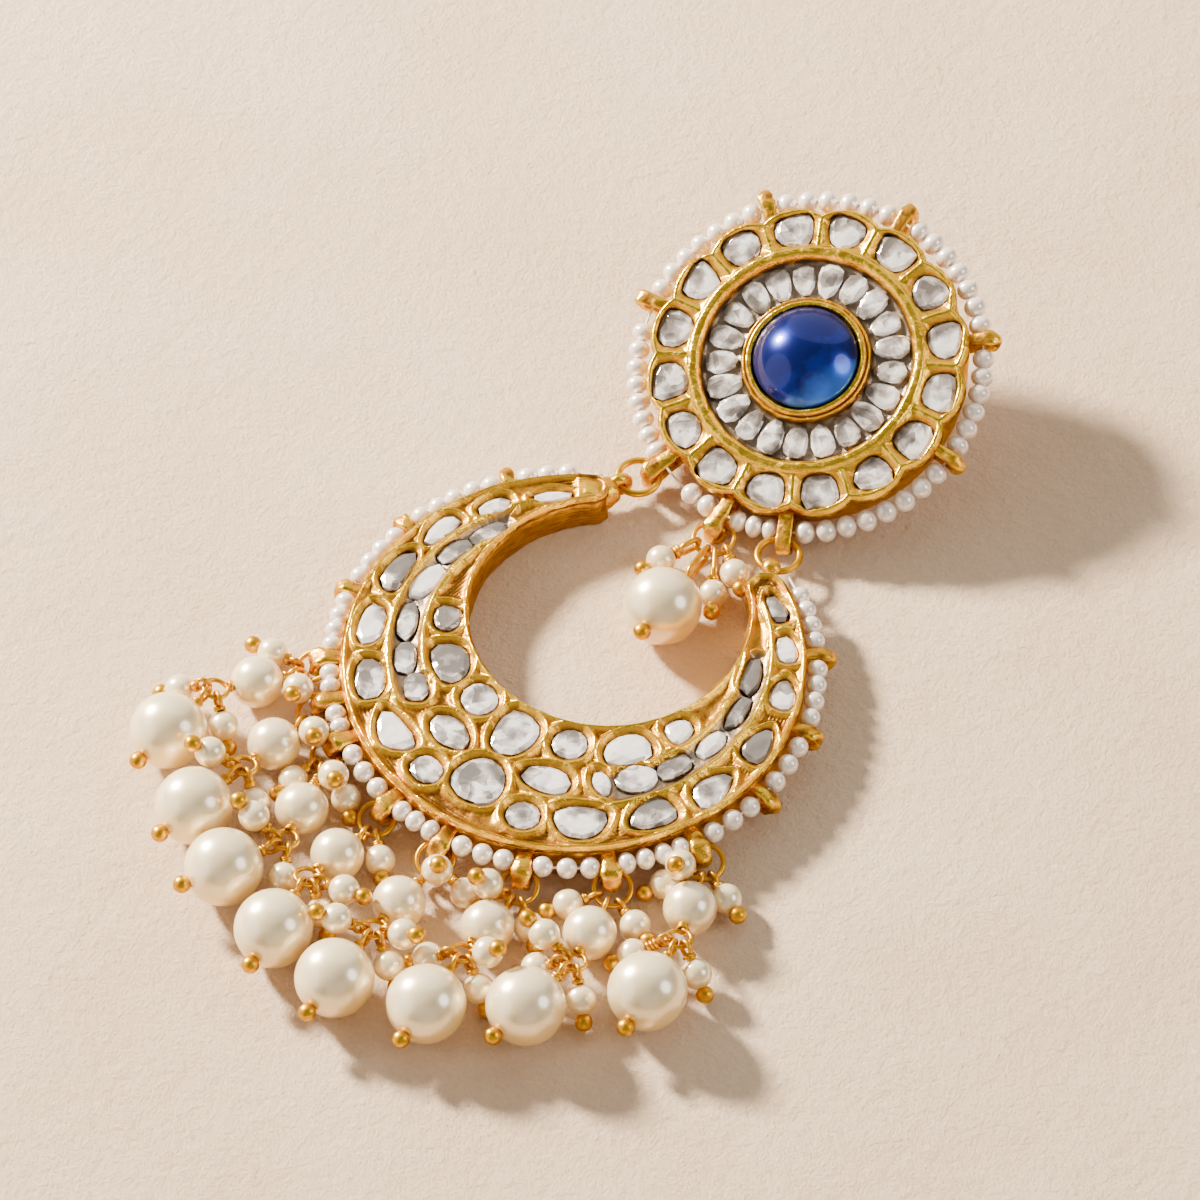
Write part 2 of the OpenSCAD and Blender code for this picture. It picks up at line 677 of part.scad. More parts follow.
// Columns: start, end, room kept at the start and at the end.
// Room 1 is beside a ring, 2 beside the centre ring, 0 beside a strap.
CRESCENT_SPANS = [
  [-152, -133, 0, 0], [-133, -105, 0, 0], [-105, -82, 0, 0],
  [-82, -61, 0, 1], [-61, -49, 1, 1], [-49, -37, 1, 1],
  [-37, -16.5, 1, 1], [-16.5, 0, 1, 1], [0, 19.5, 1, 1],
  [19.5, 39.5, 1, 1], [39.5, 60.5, 1, 1], [60.5, 81, 1, 0],
  [81, 101.5, 0, 0], [101.5, 124, 0, 0], [124, 146, 0, 0]
];
function room(kind) =
  kind == 2 ? centre_ring_r + play
  : kind == 1 ? ring_r - 0.45 * ring_wire : strap_w / 2;
module crescent_pearl_string() {
  color(PEARL)
  translate(shift)
    rotate([0, 0, -90])
      for (s = CRESCENT_SPANS)
        tube_span(crescent_seed_r, seed_z,
                  s[0] + beside(crescent_seed_r, room(s[2])),
                  s[1] - beside(crescent_seed_r, room(s[3])));
}
disc_seed_r = disc_r + disc_string_gap + seed_r;
// Columns: start, end, room kept at each.
DISC_SPANS = [
  [-177, -118, 0, 1], [-118, -91, 1, 1], [-91, -69, 2, 1],
  [-69, -9, 1, 0], [-9, 33, 0, 0], [33, 85, 0, 0],
  [85, 132, 0, 0], [132, 183, 0, 0]
];
module disc_pearl_string() {
  color(PEARL)
  translate(shift)
    on_face()
      for (s = DISC_SPANS)
        tube_span(disc_seed_r, -disc_seed_z,
                  s[0] + beside(disc_seed_r, room(s[2])),
                  s[1] - beside(disc_seed_r, room(s[3])));
}

// Ear disc.
lobe_step = 360 / lobes;
lobe_r = 1.7 * outer_ring_r * sin(lobe_step / 2);
channel_in = bezel_r;
channel_out = middle_ring_r - middle_ring_w / 2;
channel_w = channel_out - channel_in;
module disc_setting() {
  color(GOLD)
  translate(shift)
    on_face()
      difference() {
        union() {
          translate([0, 0, -disc_height])
            linear_extrude(height = disc_height) {
              circle(r = outer_ring_r, $fn = 90);
              for (k = [0:lobes - 1])
                rotate([0, 0, (k + 0.5) * lobe_step])
                  translate([disc_r - lobe_r, 0]) circle(r = lobe_r);
            }
          rotate_extrude($fn = 90)
            translate([middle_ring_r, -0.13 * middle_ring_w])
              circle(r = middle_ring_w / 2, $fn = 24);
          translate([0, 0, -disc_height])
            cylinder(r = bezel_r, h = disc_height + bezel_rise, $fn = 90);
          for (a = DISC_STRAPS)
            rotate([0, 0, a])
              translate([disc_r, 0, -disc_strap_z]) strap_solid(disc_strap);
        }
        translate([0, 0, disc_floor - disc_height])
          cylinder(r = bezel_r - bezel_wall, h = 2 * disc_height, $fn = 90);
        translate([0, 0, disc_floor - disc_height])
          rotate_extrude($fn = 90)
            translate([channel_in, 0])
              square([channel_w, 2 * disc_height]);
        for (k = [0:lobes - 1])
          disc_pocket(k);
      }
}
function lobe_row(k) = DISC_OUTER[k % len(DISC_OUTER)];
module at_lobe(k) {
  rotate([0, 0, (k + 0.5) * lobe_step])
    translate([outer_ring_r, 0, 0])
      rotate([0, 0, lobe_row(k)[3] - 90]) children();
}
module disc_pocket(k) {
  row = lobe_row(k);
  at_lobe(k)
    translate([0, 0, disc_floor - disc_height])
      linear_extrude(height = 2 * disc_height)
        polygon(outline(row[0] * outer_ring_r * 1.04,
                        row[1] * outer_ring_r * 1.04, row[2]));
}
module disc_outer_stones() {
  color(CLEAR)
  translate(shift)
    on_face()
      for (k = [0:lobes - 1])
        at_lobe(k)
          stone_solid(outline(lobe_row(k)[0] * outer_ring_r - stone_gap,
                              lobe_row(k)[1] * outer_ring_r - stone_gap,
                              lobe_row(k)[2]),
                      disc_floor - disc_height + stone_gap, -outer_sink);
}
module disc_inner_stones() {
  color(CLEAR)
  translate(shift)
    on_face()
      for (k = [0:len(DISC_INNER) - 1])
        rotate([0, 0, k * 360 / len(DISC_INNER)])
          translate([channel_in + channel_w / 2, 0, 0])
            rotate([0, 0, DISC_INNER[k][3] - 90])
              stone_solid(outline(DISC_INNER[k][0] * channel_w,
                                  DISC_INNER[k][1] * channel_w,
                                  DISC_INNER[k][2]),
                          disc_floor - disc_height + stone_gap, -inner_sink);
}
module blue_cabochon() {
  base = bezel_r - bezel_wall - stone_gap;
  low = disc_floor - disc_height + stone_gap;
  dome = (pow(base, 2) + pow(dome_height, 2)) / (2 * dome_height);
  color(BLUE)
  translate(shift)
    on_face()
      rotate_extrude($fn = 90) {
        translate([0, low]) square([base, bezel_rise - low]);
        intersection() {
          translate([0, bezel_rise + dome_height - dome]) circle(r = dome);
          translate([0, bezel_rise - 0.1])
            square([base, dome_height + 0.2]);
        }
      }
}

// Ear post: a pad on the back of the disc and a plain free post.
pad_z = (disc_c + post_shift * disc_v - disc_height * disc_up)[2];
post_length = (pad_z - rest) / cos(disc_tilt) - post_r * tan(disc_tilt);
module ear_post() {
  color(STEEL)
  translate(shift)
    on_face()
      translate([0, post_shift, -disc_height])
        rotate([180, 0, 0]) {
          cylinder(r = pad_r, h = pad_height);
          cylinder(r = post_r, h = post_length);
        }
}

// Rings that join the disc to the two horns.
module link_ring_left() {
  color(GOLD) translate(shift) ring_solid(link_ring_def(left_eye, 1));
}
module link_ring_right() {
  color(GOLD) translate(shift) ring_solid(link_ring_def(right_eye, 3));
}

// Centre drop.
module centre_ring() {
  color(WIRE_GOLD) translate(shift) ring_solid(centre_ring_def);
}
module centre_pins() {
  color(WIRE_GOLD)
  translate(shift)
    for (row = CENTRE_PINS)
      head_pin(centre_link(row), centre_slack(row));
}
module centre_pearl() {
  color(PEARL) translate(shift) drilled_pearl(centre_link(CENTRE_PINS[0]));
}
module centre_small_pearls() {
  color(PEARL)
  translate(shift)
    for (k = [1:len(CENTRE_PINS) - 1])
      drilled_pearl(centre_link(CENTRE_PINS[k]));
}

// One drop of the fringe, by its number from the left.
module drop_ring(n) {
  color(WIRE_GOLD) translate(shift) ring_solid(drop_ring_of(n - 1));
}
module drop_wires(n) {
  color(WIRE_GOLD)
  translate(shift) {
    eye_link(middle_link(n - 1), lower_eye_of(n - 1));
    head_pin(big_link(n - 1));
    for (row = SMALL_PINS)
      if (row[0] == n) head_pin(small_link(row));
  }
}
module drop_middle_pearl(n) {
  color(PEARL) translate(shift) drilled_pearl(middle_link(n - 1));
}
module drop_big_pearl(n) {
  color(PEARL) translate(shift) drilled_pearl(big_link(n - 1));
}
module drop_small_pearls(n) {
  color(PEARL)
  translate(shift)
    for (row = SMALL_PINS)
      if (row[0] == n) drilled_pearl(small_link(row));
}

crescent_setting();
crescent_outer_stones();
crescent_middle_stones();
crescent_inner_stones();
crescent_pearl_string();
disc_setting();
disc_outer_stones();
disc_inner_stones();
disc_pearl_string();
blue_cabochon();
ear_post();
link_ring_left();
link_ring_right();
centre_ring();
centre_pins();
centre_pearl();
centre_small_pearls();
drop_ring(1);  // drop_1_ring
drop_wires(1);  // drop_1_wires
drop_middle_pearl(1);  // drop_1_middle_pearl
drop_big_pearl(1);  // drop_1_big_pearl
drop_small_pearls(1);  // drop_1_small_pearls
drop_ring(2);  // drop_2_ring
drop_wires(2);  // drop_2_wires
drop_middle_pearl(2);  // drop_2_middle_pearl
drop_big_pearl(2);  // drop_2_big_pearl
drop_small_pearls(2);  // drop_2_small_pearls
drop_ring(3);  // drop_3_ring
drop_wires(3);  // drop_3_wires
drop_middle_pearl(3);  // drop_3_middle_pearl
drop_big_pearl(3);  // drop_3_big_pearl
drop_small_pearls(3);  // drop_3_small_pearls
drop_ring(4);  // drop_4_ring
drop_wires(4);  // drop_4_wires
drop_middle_pearl(4);  // drop_4_middle_pearl
drop_big_pearl(4);  // drop_4_big_pearl
drop_small_pearls(4);  // drop_4_small_pearls
drop_ring(5);  // drop_5_ring
drop_wires(5);  // drop_5_wires
drop_middle_pearl(5);  // drop_5_middle_pearl
drop_big_pearl(5);  // drop_5_big_pearl
drop_small_pearls(5);  // drop_5_small_pearls
drop_ring(6);  // drop_6_ring
drop_wires(6);  // drop_6_wires
drop_middle_pearl(6);  // drop_6_middle_pearl
drop_big_pearl(6);  // drop_6_big_pearl
drop_small_pearls(6);  // drop_6_small_pearls
drop_ring(7);  // drop_7_ring
drop_wires(7);  // drop_7_wires
drop_middle_pearl(7);  // drop_7_middle_pearl
drop_big_pearl(7);  // drop_7_big_pearl
drop_small_pearls(7);  // drop_7_small_pearls
drop_ring(8);  // drop_8_ring
drop_wires(8);  // drop_8_wires
drop_middle_pearl(8);  // drop_8_middle_pearl
drop_big_pearl(8);  // drop_8_big_pearl
drop_small_pearls(8);  // drop_8_small_pearls
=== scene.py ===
"""Kundan chandbali earring, lying face up on a pale floor.

All sizes in the classes are millimetres in the model's own frame: +Y runs
from the fringe to the ear disc, +Z is up and +X is across. They become
metres where a mesh is made.
"""

import json
import logging
import math
from dataclasses import dataclass, field
from enum import Enum
from typing import Callable, Iterable, Optional, Sequence, Union

import bmesh
import bpy
import numpy as np
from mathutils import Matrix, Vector

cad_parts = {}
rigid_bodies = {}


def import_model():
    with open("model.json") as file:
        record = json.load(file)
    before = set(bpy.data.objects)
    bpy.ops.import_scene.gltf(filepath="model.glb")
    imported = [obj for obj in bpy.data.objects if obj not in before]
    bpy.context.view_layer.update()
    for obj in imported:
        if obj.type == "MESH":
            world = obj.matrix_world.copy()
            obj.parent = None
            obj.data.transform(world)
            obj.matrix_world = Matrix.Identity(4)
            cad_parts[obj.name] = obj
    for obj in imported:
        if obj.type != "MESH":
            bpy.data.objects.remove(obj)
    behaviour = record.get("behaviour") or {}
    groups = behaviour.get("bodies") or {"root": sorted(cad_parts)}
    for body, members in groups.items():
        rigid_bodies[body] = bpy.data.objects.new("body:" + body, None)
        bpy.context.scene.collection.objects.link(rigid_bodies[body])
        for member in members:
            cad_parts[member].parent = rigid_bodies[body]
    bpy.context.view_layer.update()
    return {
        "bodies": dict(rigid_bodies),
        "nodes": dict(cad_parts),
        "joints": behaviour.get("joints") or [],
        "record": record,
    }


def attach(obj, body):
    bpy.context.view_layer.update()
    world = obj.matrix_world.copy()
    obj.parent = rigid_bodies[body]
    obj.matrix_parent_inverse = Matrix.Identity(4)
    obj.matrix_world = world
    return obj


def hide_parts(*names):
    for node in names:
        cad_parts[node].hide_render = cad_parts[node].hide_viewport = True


LOG = logging.getLogger("earring")
MM = 0.001
# Direction towards the light, used to paint the stones' lit side
LIT_SIDE = (0.8, -0.6, 0.0)
BODY = "root"
Array = np.ndarray
SocketValue = Union["Sock", float, Sequence[float]]


# Shaders
class Sock:
    """An output socket that takes part in Python arithmetic."""

    def __init__(self, graph: "Graph", socket: bpy.types.NodeSocket) -> None:
        """Wrap a socket."""
        self.graph = graph
        self.socket = socket

    def _math(self, operation: str, left: SocketValue, right: SocketValue,
              clamp: bool = False) -> "Sock":
        """Add one Math node."""
        return self.graph.node(
            "ShaderNodeMath", {"operation": operation, "use_clamp": clamp},
            {0: left, 1: right})

    def __add__(self, other: SocketValue) -> "Sock":
        """Return self + other."""
        return self._math("ADD", self, other)

    def __radd__(self, other: SocketValue) -> "Sock":
        """Return other + self."""
        return self._math("ADD", other, self)

    def __sub__(self, other: SocketValue) -> "Sock":
        """Return self - other."""
        return self._math("SUBTRACT", self, other)

    def __rsub__(self, other: SocketValue) -> "Sock":
        """Return other - self."""
        return self._math("SUBTRACT", other, self)

    def __mul__(self, other: SocketValue) -> "Sock":
        """Return self * other."""
        return self._math("MULTIPLY", self, other)

    def __rmul__(self, other: SocketValue) -> "Sock":
        """Return other * self."""
        return self._math("MULTIPLY", other, self)

    def __truediv__(self, other: SocketValue) -> "Sock":
        """Return self / other."""
        return self._math("DIVIDE", self, other)

    def clamped(self) -> "Sock":
        """Return the value kept between 0 and 1."""
        return self._math("ADD", self, 0.0, clamp=True)


class Graph:
    """A shader node graph with one method that makes any node."""

    def __init__(self, name: str) -> None:
        """Start an empty material.

        Args:
            name: The material's name.
        """
        self.material = bpy.data.materials.new(name)
        self.material.use_nodes = True
        self.tree = self.material.node_tree
        self.tree.nodes.clear()

    def node(self, kind: str, settings: Optional[dict] = None,
             inputs: Optional[dict] = None,
             output: Union[int, str] = 0) -> Sock:
        """Make a node of any type.

        Args:
            kind: The node's type name.
            settings: Attributes set first; "stops" fills a colour ramp.
            inputs: Values or links of the inputs, by name or number.
            output: Which output is returned.

        Returns:
            The chosen output.
        """
        made = self.tree.nodes.new(kind)
        for key, value in (settings or {}).items():
            if key == "stops":
                self._fill_ramp(made.color_ramp, value)
            else:
                setattr(made, key, value)
        for key, value in (inputs or {}).items():
            self.feed(made.inputs[key], value)
        return Sock(self, made.outputs[output])

    @staticmethod
    def _fill_ramp(ramp: bpy.types.ColorRamp,
                   stops: Sequence[tuple[float, Sequence[float]]]) -> None:
        """Set a colour ramp's stops.

        Args:
            ramp: The ramp.
            stops: Place and colour of each stop.
        """
        while len(ramp.elements) < len(stops):
            ramp.elements.new(0.5)
        for element, (place, colour) in zip(ramp.elements, stops):
            element.position = place
            element.color = (*colour, 1.0)

    def feed(self, target: bpy.types.NodeSocket, value: SocketValue) -> None:
        """Link or set one input.

        Args:
            target: The input socket.
            value: A socket to link, or a plain value to set.
        """
        if isinstance(value, Sock):
            self.tree.links.new(value.socket, target)
        elif isinstance(value, (tuple, list)) and len(value) == 3 \
                and target.type == "RGBA":
            target.default_value = (*value, 1.0)
        else:
            target.default_value = value

    def place(self, scale: Sequence[float] = (1, 1, 1)) -> Sock:
        """Return Object coordinates in millimetres, times a scale."""
        coords = self.node("ShaderNodeTexCoord", output="Object")
        return self.node("ShaderNodeVectorMath", {"operation": "MULTIPLY"},
                         {0: coords, 1: [s / MM for s in scale]})

    def noise(self, scale: float, detail: float = 3.0,
              roughness: float = 0.5,
              stretch: Sequence[float] = (1, 1, 1)) -> Sock:
        """Return a noise value with features of about 1 / scale mm.

        Args:
            scale: Noise cells in each millimetre.
            detail: Octaves of detail.
            roughness: Strength of the finer octaves.
            stretch: Stretch of the pattern along X, Y and Z.
        """
        return self.node(
            "ShaderNodeTexNoise", None,
            {"Vector": self.place(stretch), "Scale": scale,
             "Detail": detail, "Roughness": roughness})

    def attribute(self, name: str) -> Sock:
        """Return a number stored on the mesh's points."""
        return self.node("ShaderNodeAttribute", {"attribute_name": name},
                         output="Fac")

    def mix(self, amount: SocketValue, first: SocketValue,
            second: SocketValue) -> Sock:
        """Mix two colours.

        Args:
            amount: Share of the second colour.
            first: Colour where the amount is 0.
            second: Colour where the amount is 1.

        Returns:
            The mixed colour.
        """
        made = self.tree.nodes.new("ShaderNodeMix")
        made.data_type = "RGBA"
        made.clamp_factor = True
        self.feed(made.inputs[0], amount)
        self.feed(made.inputs[6], first)
        self.feed(made.inputs[7], second)
        return Sock(self, made.outputs[2])

    def ramp(self, value: Sock,
             stops: Sequence[tuple[float, Sequence[float]]]) -> Sock:
        """Colour a value through a ramp."""
        return self.node("ShaderNodeValToRGB", {"stops": stops},
                         {0: value})

    def bump(self, height: Sock, strength: float, depth_mm: float,
             under: Optional[Sock] = None) -> Sock:
        """Return a bumped normal.

        Args:
            height: Height between 0 and 1.
            strength: Share of the bump that shows.
            depth_mm: Depth of the relief in millimetres.
            under: A normal that the bump is added to.
        """
        inputs: dict = {"Height": height, "Strength": strength,
                        "Distance": depth_mm * MM}
        if under is not None:
            inputs["Normal"] = under
        return self.node("ShaderNodeBump", None, inputs)

    def surface(self, inputs: dict) -> bpy.types.Material:
        """Finish the material with one Principled shader.

        Args:
            inputs: Values or links of the shader's inputs.

        Returns:
            The finished material.
        """
        shader = self.node("ShaderNodeBsdfPrincipled", None, inputs)
        end = self.tree.nodes.new("ShaderNodeOutputMaterial")
        self.feed(end.inputs["Surface"], shader)
        return self.material


@dataclass(frozen=True)
class GoldFinish:
    """Gold: painted highlights on crests, painted shade in crevices, brushed
    walls.
    """

    name: str
    # bright is the painted crest highlight; crevice is the painted shade in
    # hollows, and the darkest random tone on wire
    bright: tuple[float, float, float]
    body: tuple[float, float, float]
    crevice: tuple[float, float, float]
    roughness: float
    stroke_mm: float = 0.08
    hammer_mm: float = 0.16
    uses_relief: bool = True
    foil: tuple[float, float, float] = (0.30, 0.24, 0.18)
    # Darker brushed wall tone, partly painted shade on the side walls
    wall: tuple[float, float, float] = (0.70, 0.36, 0.018)

    def material(self) -> bpy.types.Material:
        """Return the material."""
        g = Graph(self.name)
        blotch = g.noise(0.8, 4.0, 0.6)
        grain = g.noise(7.0, 3.0, 0.6)
        hammer = g.noise(1.5, 2.0, 0.5)
        strokes = g.noise(2.4, 4.0, 0.7, stretch=(0.25, 0.25, 2.5))
        # The relief attribute is painted light: highlights on crests, shade in
        # crevices and round the stones
        if self.uses_relief:
            painted_light_and_wear = g.attribute("relief")
        else:
            painted_light_and_wear = 0.35 + 0.5 * blotch
        # Ramp from the painted crevice shade through the body to the painted
        # highlight, broken by random grain and blotches
        painted_light_and_worn = (painted_light_and_wear + (grain - 0.5) * 0.45 + (blotch - 0.5) * 0.5).clamped()
        colour = g.ramp(painted_light_and_worn, [(0.0, self.crevice), (0.38, self.body),
                               (0.9, self.bright)])
        if self.uses_relief:
            # Side walls turn to a darker brushed tone: real brushed streaks,
            # partly painted shade
            brushed = ((strokes - 0.40) * 4.5).clamped()
            orange = g.mix(brushed, self.crevice, self.wall)
            colour = g.mix(g.attribute("side") * 0.85, colour, orange)
            colour = g.mix(g.attribute("foil"), colour, self.foil)
        rough = (self.roughness + 0.20 * (1.0 - painted_light_and_worn)
                 + 0.25 * (strokes - 0.5)).clamped()
        normal = g.bump(hammer, 0.6, self.hammer_mm)
        normal = g.bump(strokes, 0.6, self.stroke_mm, normal)
        normal = g.bump(grain, 0.5, 0.02, normal)
        return g.surface({"Base Color": colour, "Metallic": 1.0,
                          "Specular Tint": (1.0, 0.80, 0.45, 1.0),
                          "Roughness": rough, "Normal": normal})


@dataclass(frozen=True)
class PearlFinish:
    """Nacre: a warm body under a soft clear lustre, with painted shade on one
    side.
    """

    name: str
    body: tuple[float, float, float]
    warm_tone_and_shade: tuple[float, float, float]
    roughness: float = 0.36
    sheen: float = 0.22

    def material(self) -> bpy.types.Material:
        """Return the material."""
        g = Graph(self.name)
        cloud = g.noise(0.35, 3.0, 0.55)
        skin = g.noise(1.4, 3.0, 0.5)
        # Painted shade: the under attribute turns the side away from the light
        # to the warm tone
        shade = g.attribute("under")
        colour = g.mix((0.9 * shade + 0.5 * (cloud - 0.5)).clamped(),
                       self.body, self.warm_tone_and_shade)
        normal = g.bump(skin, 0.3, 0.04)
        return g.surface({
            "Base Color": colour, "Roughness": self.roughness,
            "Metallic": self.sheen, "IOR": 1.9, "Normal": normal,
            "Coat Weight": 1.0, "Coat Roughness": 0.18, "Coat IOR": 2.6,
            "Subsurface Weight": 0.15, "Subsurface Scale": 0.0008,
            "Subsurface Radius": (1.0, 0.6, 0.35)})


@dataclass(frozen=True)
class FoilStoneFinish:
    """A clear uncut stone laid on silver foil, with painted reflections and
    glints.
    """

    name: str
    # Colours of the painted reflections: light windows, dark patches and grey
    # between
    light: tuple[float, float, float]
    dark: tuple[float, float, float]
    tint: tuple[float, float, float]

    def material(self) -> bpy.types.Material:
        """Return the material."""
        g = Graph(self.name)
        # Painted light: relief lightens the table, the facet tone lightens
        # upward facets, across lightens the side towards the light
        depth = g.attribute("relief")
        tone = g.attribute("tone")
        across = g.attribute("across")
        # Noise and cells break the painted reflections into patches, with
        # random tone
        flaw = g.noise(0.62, 1.2, 0.4)
        haze = g.noise(4.0, 3.0, 0.6)
        bend = g.node("ShaderNodeVectorMath", {"operation": "MULTIPLY_ADD"},
                      {0: g.node("ShaderNodeTexNoise", None, {
                          "Vector": g.place(), "Scale": 0.5},
                          output="Color"),
                       1: (1.6, 1.6, 1.6), 2: g.place()})
        cell = g.node("ShaderNodeTexVoronoi", None,
                      {"Vector": bend, "Scale": 0.8}, output="Color")
        glint_and_tone = (0.23 + 0.30 * depth + 0.40 * (tone - 0.5) + 0.50 * across
                + 0.80 * (cell - 0.5) + 2.1 * (flaw - 0.5)
                + 0.35 * (haze - 0.5)).clamped()
        base = g.ramp(glint_and_tone, [(0.0, self.dark), (0.40, self.tint),
                             (0.74, self.light)])
        # Painted glints: the lightest parts glow faintly through emission
        painted_highlight = g.mix(((glint_and_tone - 0.60) * 3.0).clamped(), (0.0, 0.0, 0.0),
                      self.light)
        wrinkle = g.bump(flaw, 0.9, 0.30)
        return g.surface({
            "Base Color": base, "Metallic": 0.35,
            "Emission Color": painted_highlight, "Emission Strength": 0.22,
            "Roughness": (0.05 + 0.24 * haze).clamped(),
            "Normal": wrinkle, "IOR": 1.6,
            "Coat Weight": 1.0, "Coat Roughness": 0.02, "Coat IOR": 1.6})


@dataclass(frozen=True)
class BlueGlassFinish:
    """Royal blue glass over foil, with a painted glow on one side and a
    painted highlight near its edge.
    """

    name: str
    deep: tuple[float, float, float]
    painted_glow: tuple[float, float, float]
    painted_highlight: tuple[float, float, float]
    centre: tuple[float, float, float]
    glow_way: tuple[float, float, float]
    radius: float

    def material(self) -> bpy.types.Material:
        """Return the material."""
        g = Graph(self.name)
        offset = g.node(
            "ShaderNodeVectorMath", {"operation": "SUBTRACT"},
            {0: g.place(), 1: self.centre})
        side = g.node("ShaderNodeVectorMath", {"operation": "DOT_PRODUCT"},
                      {0: offset, 1: self.glow_way}, output="Value")
        swirl = g.noise(0.30, 3.0, 0.6)
        fleck = g.noise(2.2, 4.0, 0.65)
        # Painted glow: the colour lightens towards one side, where light
        # passes through
        near = side / self.radius
        amount = (0.30 * near + 1.6 * (swirl - 0.46)
                  + 0.3 * (fleck - 0.5)).clamped()
        colour = g.mix(amount, self.deep, self.painted_glow)
        # Painted highlight near the edge on the glow side
        edge_highlight_mask = ((near - 0.52) * 3.2 + 1.2 * (swirl - 0.5)).clamped()
        colour = g.mix(edge_highlight_mask, colour, self.painted_highlight)
        return g.surface({
            "Base Color": colour, "Roughness": 0.25, "IOR": 1.4,
            "Metallic": 0.6, "Coat Weight": 0.7, "Coat Roughness": 0.04,
            "Coat IOR": 1.4})


@dataclass(frozen=True)
class PlainFinish:
    """A floor or thread finish: one colour, mottled, with grain."""

    name: str
    light: tuple[float, float, float]
    dark: tuple[float, float, float]
    roughness: float
    cell: float
    relief_mm: float

    def material(self) -> bpy.types.Material:
        """Return the material."""
        g = Graph(self.name)
        mottle = g.noise(self.cell, 6.0, 0.62)
        grain = g.noise(self.cell * 18, 7.0, 0.75)
        speck = g.noise(self.cell * 60, 3.0, 0.7)
        amount = (0.6 + 1.5 * (mottle - 0.5) + 1.2 * (speck - 0.5)).clamped()
        colour = g.mix(amount, self.dark, self.light)
        normal = g.bump(mottle, 0.6, self.relief_mm)
        normal = g.bump(grain, 1.0, self.relief_mm * 0.35, normal)
        return g.surface({"Base Color": colour, "Normal": normal,
                          "Roughness": self.roughness})


class Palette:
    """All the finishes, made once."""

    def __init__(self, disc_centre: Array, disc_up: Array) -> None:
        """Make every material.

        Args:
            disc_centre: Centre of the disc's face.
            disc_up: Direction out of the disc's face.
        """
        # Gold colours: painted crest highlight, body, painted crevice shade
        self.gold = GoldFinish(
            "setting_gold", (1.0, 0.655, 0.04), (0.88, 0.435, 0.03),
            (0.21, 0.085, 0.018), 0.20).material()
        self.wire = GoldFinish(
            "wire_gold", (0.84, 0.46, 0.015), (0.54, 0.26, 0.008),
            (0.14, 0.055, 0.003), 0.28, 0.012, 0.02,
            uses_relief=False).material()
        # The second colour of each pearl finish is its warm tone and painted
        # shade
        self.pearl = PearlFinish(
            "pearl_cream", (1.0, 0.83, 0.50), (0.94, 0.60, 0.12)).material()
        self.seed = PearlFinish(
            "pearl_seed", (1.0, 0.88, 0.80), (0.93, 0.72, 0.56),
            0.36, 0.15).material()
        # Stone colours: painted reflection windows, dark patches and grey
        # between
        self.stone = FoilStoneFinish(
            "clear_stone", (0.99, 0.965, 0.95), (0.17, 0.15, 0.14),
            (0.46, 0.42, 0.405)).material()
        # Direction of the blue stone's painted glow and highlight
        side = np.array([0.85, -0.52, 0.0])
        side = side - side.dot(disc_up) * disc_up
        self.blue = BlueGlassFinish(
            "blue_stone", (0.0, 0.006, 0.11), (0.0, 0.035, 0.58),
            (0.04, 0.19, 0.95), tuple(disc_centre), tuple(unit(side)),
            5.4).material()
        self.thread = PlainFinish(
            "thread", (0.86, 0.80, 0.70), (0.74, 0.66, 0.55), 0.5, 1.0,
            0.02).material()
        self.floor = PlainFinish(
            "plaster_floor", (0.98, 0.76, 0.54), (0.80, 0.57, 0.37), 0.85,
            0.035, 2.6).material()


# Mesh tools
def unit(v: Array) -> Array:
    """Return v at length 1."""
    return np.asarray(v, float) / np.linalg.norm(v)


def heading(bearing: float, rise: float = 0.0) -> Array:
    """Return a direction from a bearing and a rise."""
    b, e = math.radians(bearing), math.radians(rise)
    return np.array([math.sin(b) * math.cos(e),
                     -math.cos(b) * math.cos(e), math.sin(e)])


def tangent(bearing: float) -> Array:
    """Return the level direction a quarter turn on from a bearing."""
    b = math.radians(bearing)
    return np.array([math.cos(b), math.sin(b), 0])


def around(count: int) -> Array:
    """Return even angles round a circle, in radians."""
    return 2 * math.pi * np.arange(count) / count


def smooth(low: float, high: float, value: Array) -> Array:
    """Return a smooth step from 0 at low to 1 at high."""
    t = np.clip((value - low) / (high - low), 0, 1)
    return t * t * (3 - 2 * t)


def crest(distance: Array, width: float) -> Array:
    """Return a rounded ridge of height 1."""
    return np.exp(-(distance / width) ** 2)


def tent(distance: Array, width: float) -> Array:
    """Return a ridge of height 1 with straight sides and a narrow top."""
    return np.exp(-(np.abs(distance) / width) ** 1.4)


class Ripple:
    """Smooth seeded unevenness, made of many slanting waves."""

    def __init__(self, seed: int, size: float, waves: int = 26) -> None:
        """Draw the waves.

        Args:
            seed: Fixed seed.
            size: Typical size of a hollow in millimetres.
            waves: How many waves are added.
        """
        rng = np.random.default_rng(seed)
        way = rng.normal(size=(waves, 3))
        way /= np.linalg.norm(way, axis=1)[:, None]
        self.wave = way * rng.uniform(0.6, 1.6, (waves, 1)) * 3.1 / size
        self.phase = rng.uniform(0, 2 * math.pi, waves)
        self.scale = math.sqrt(2.0 / waves)

    def __call__(self, points: Array) -> Array:
        """Return the unevenness at points, mostly between -1 and 1.

        Args:
            points: Rows of X, Y and Z.
        """
        total = np.zeros(len(points))
        for wave, phase in zip(self.wave, self.phase):
            total += np.sin(points @ wave + phase)
        return total * self.scale * 0.7


def add_object(name: str, data: bpy.types.ID) -> bpy.types.Object:
    """Return a new object of some data, linked to the scene.

    Args:
        name: The object's name.
        data: Its mesh, camera or light.

    Returns:
        The object.
    """
    thing = bpy.data.objects.new(name, data)
    bpy.context.scene.collection.objects.link(thing)
    return thing


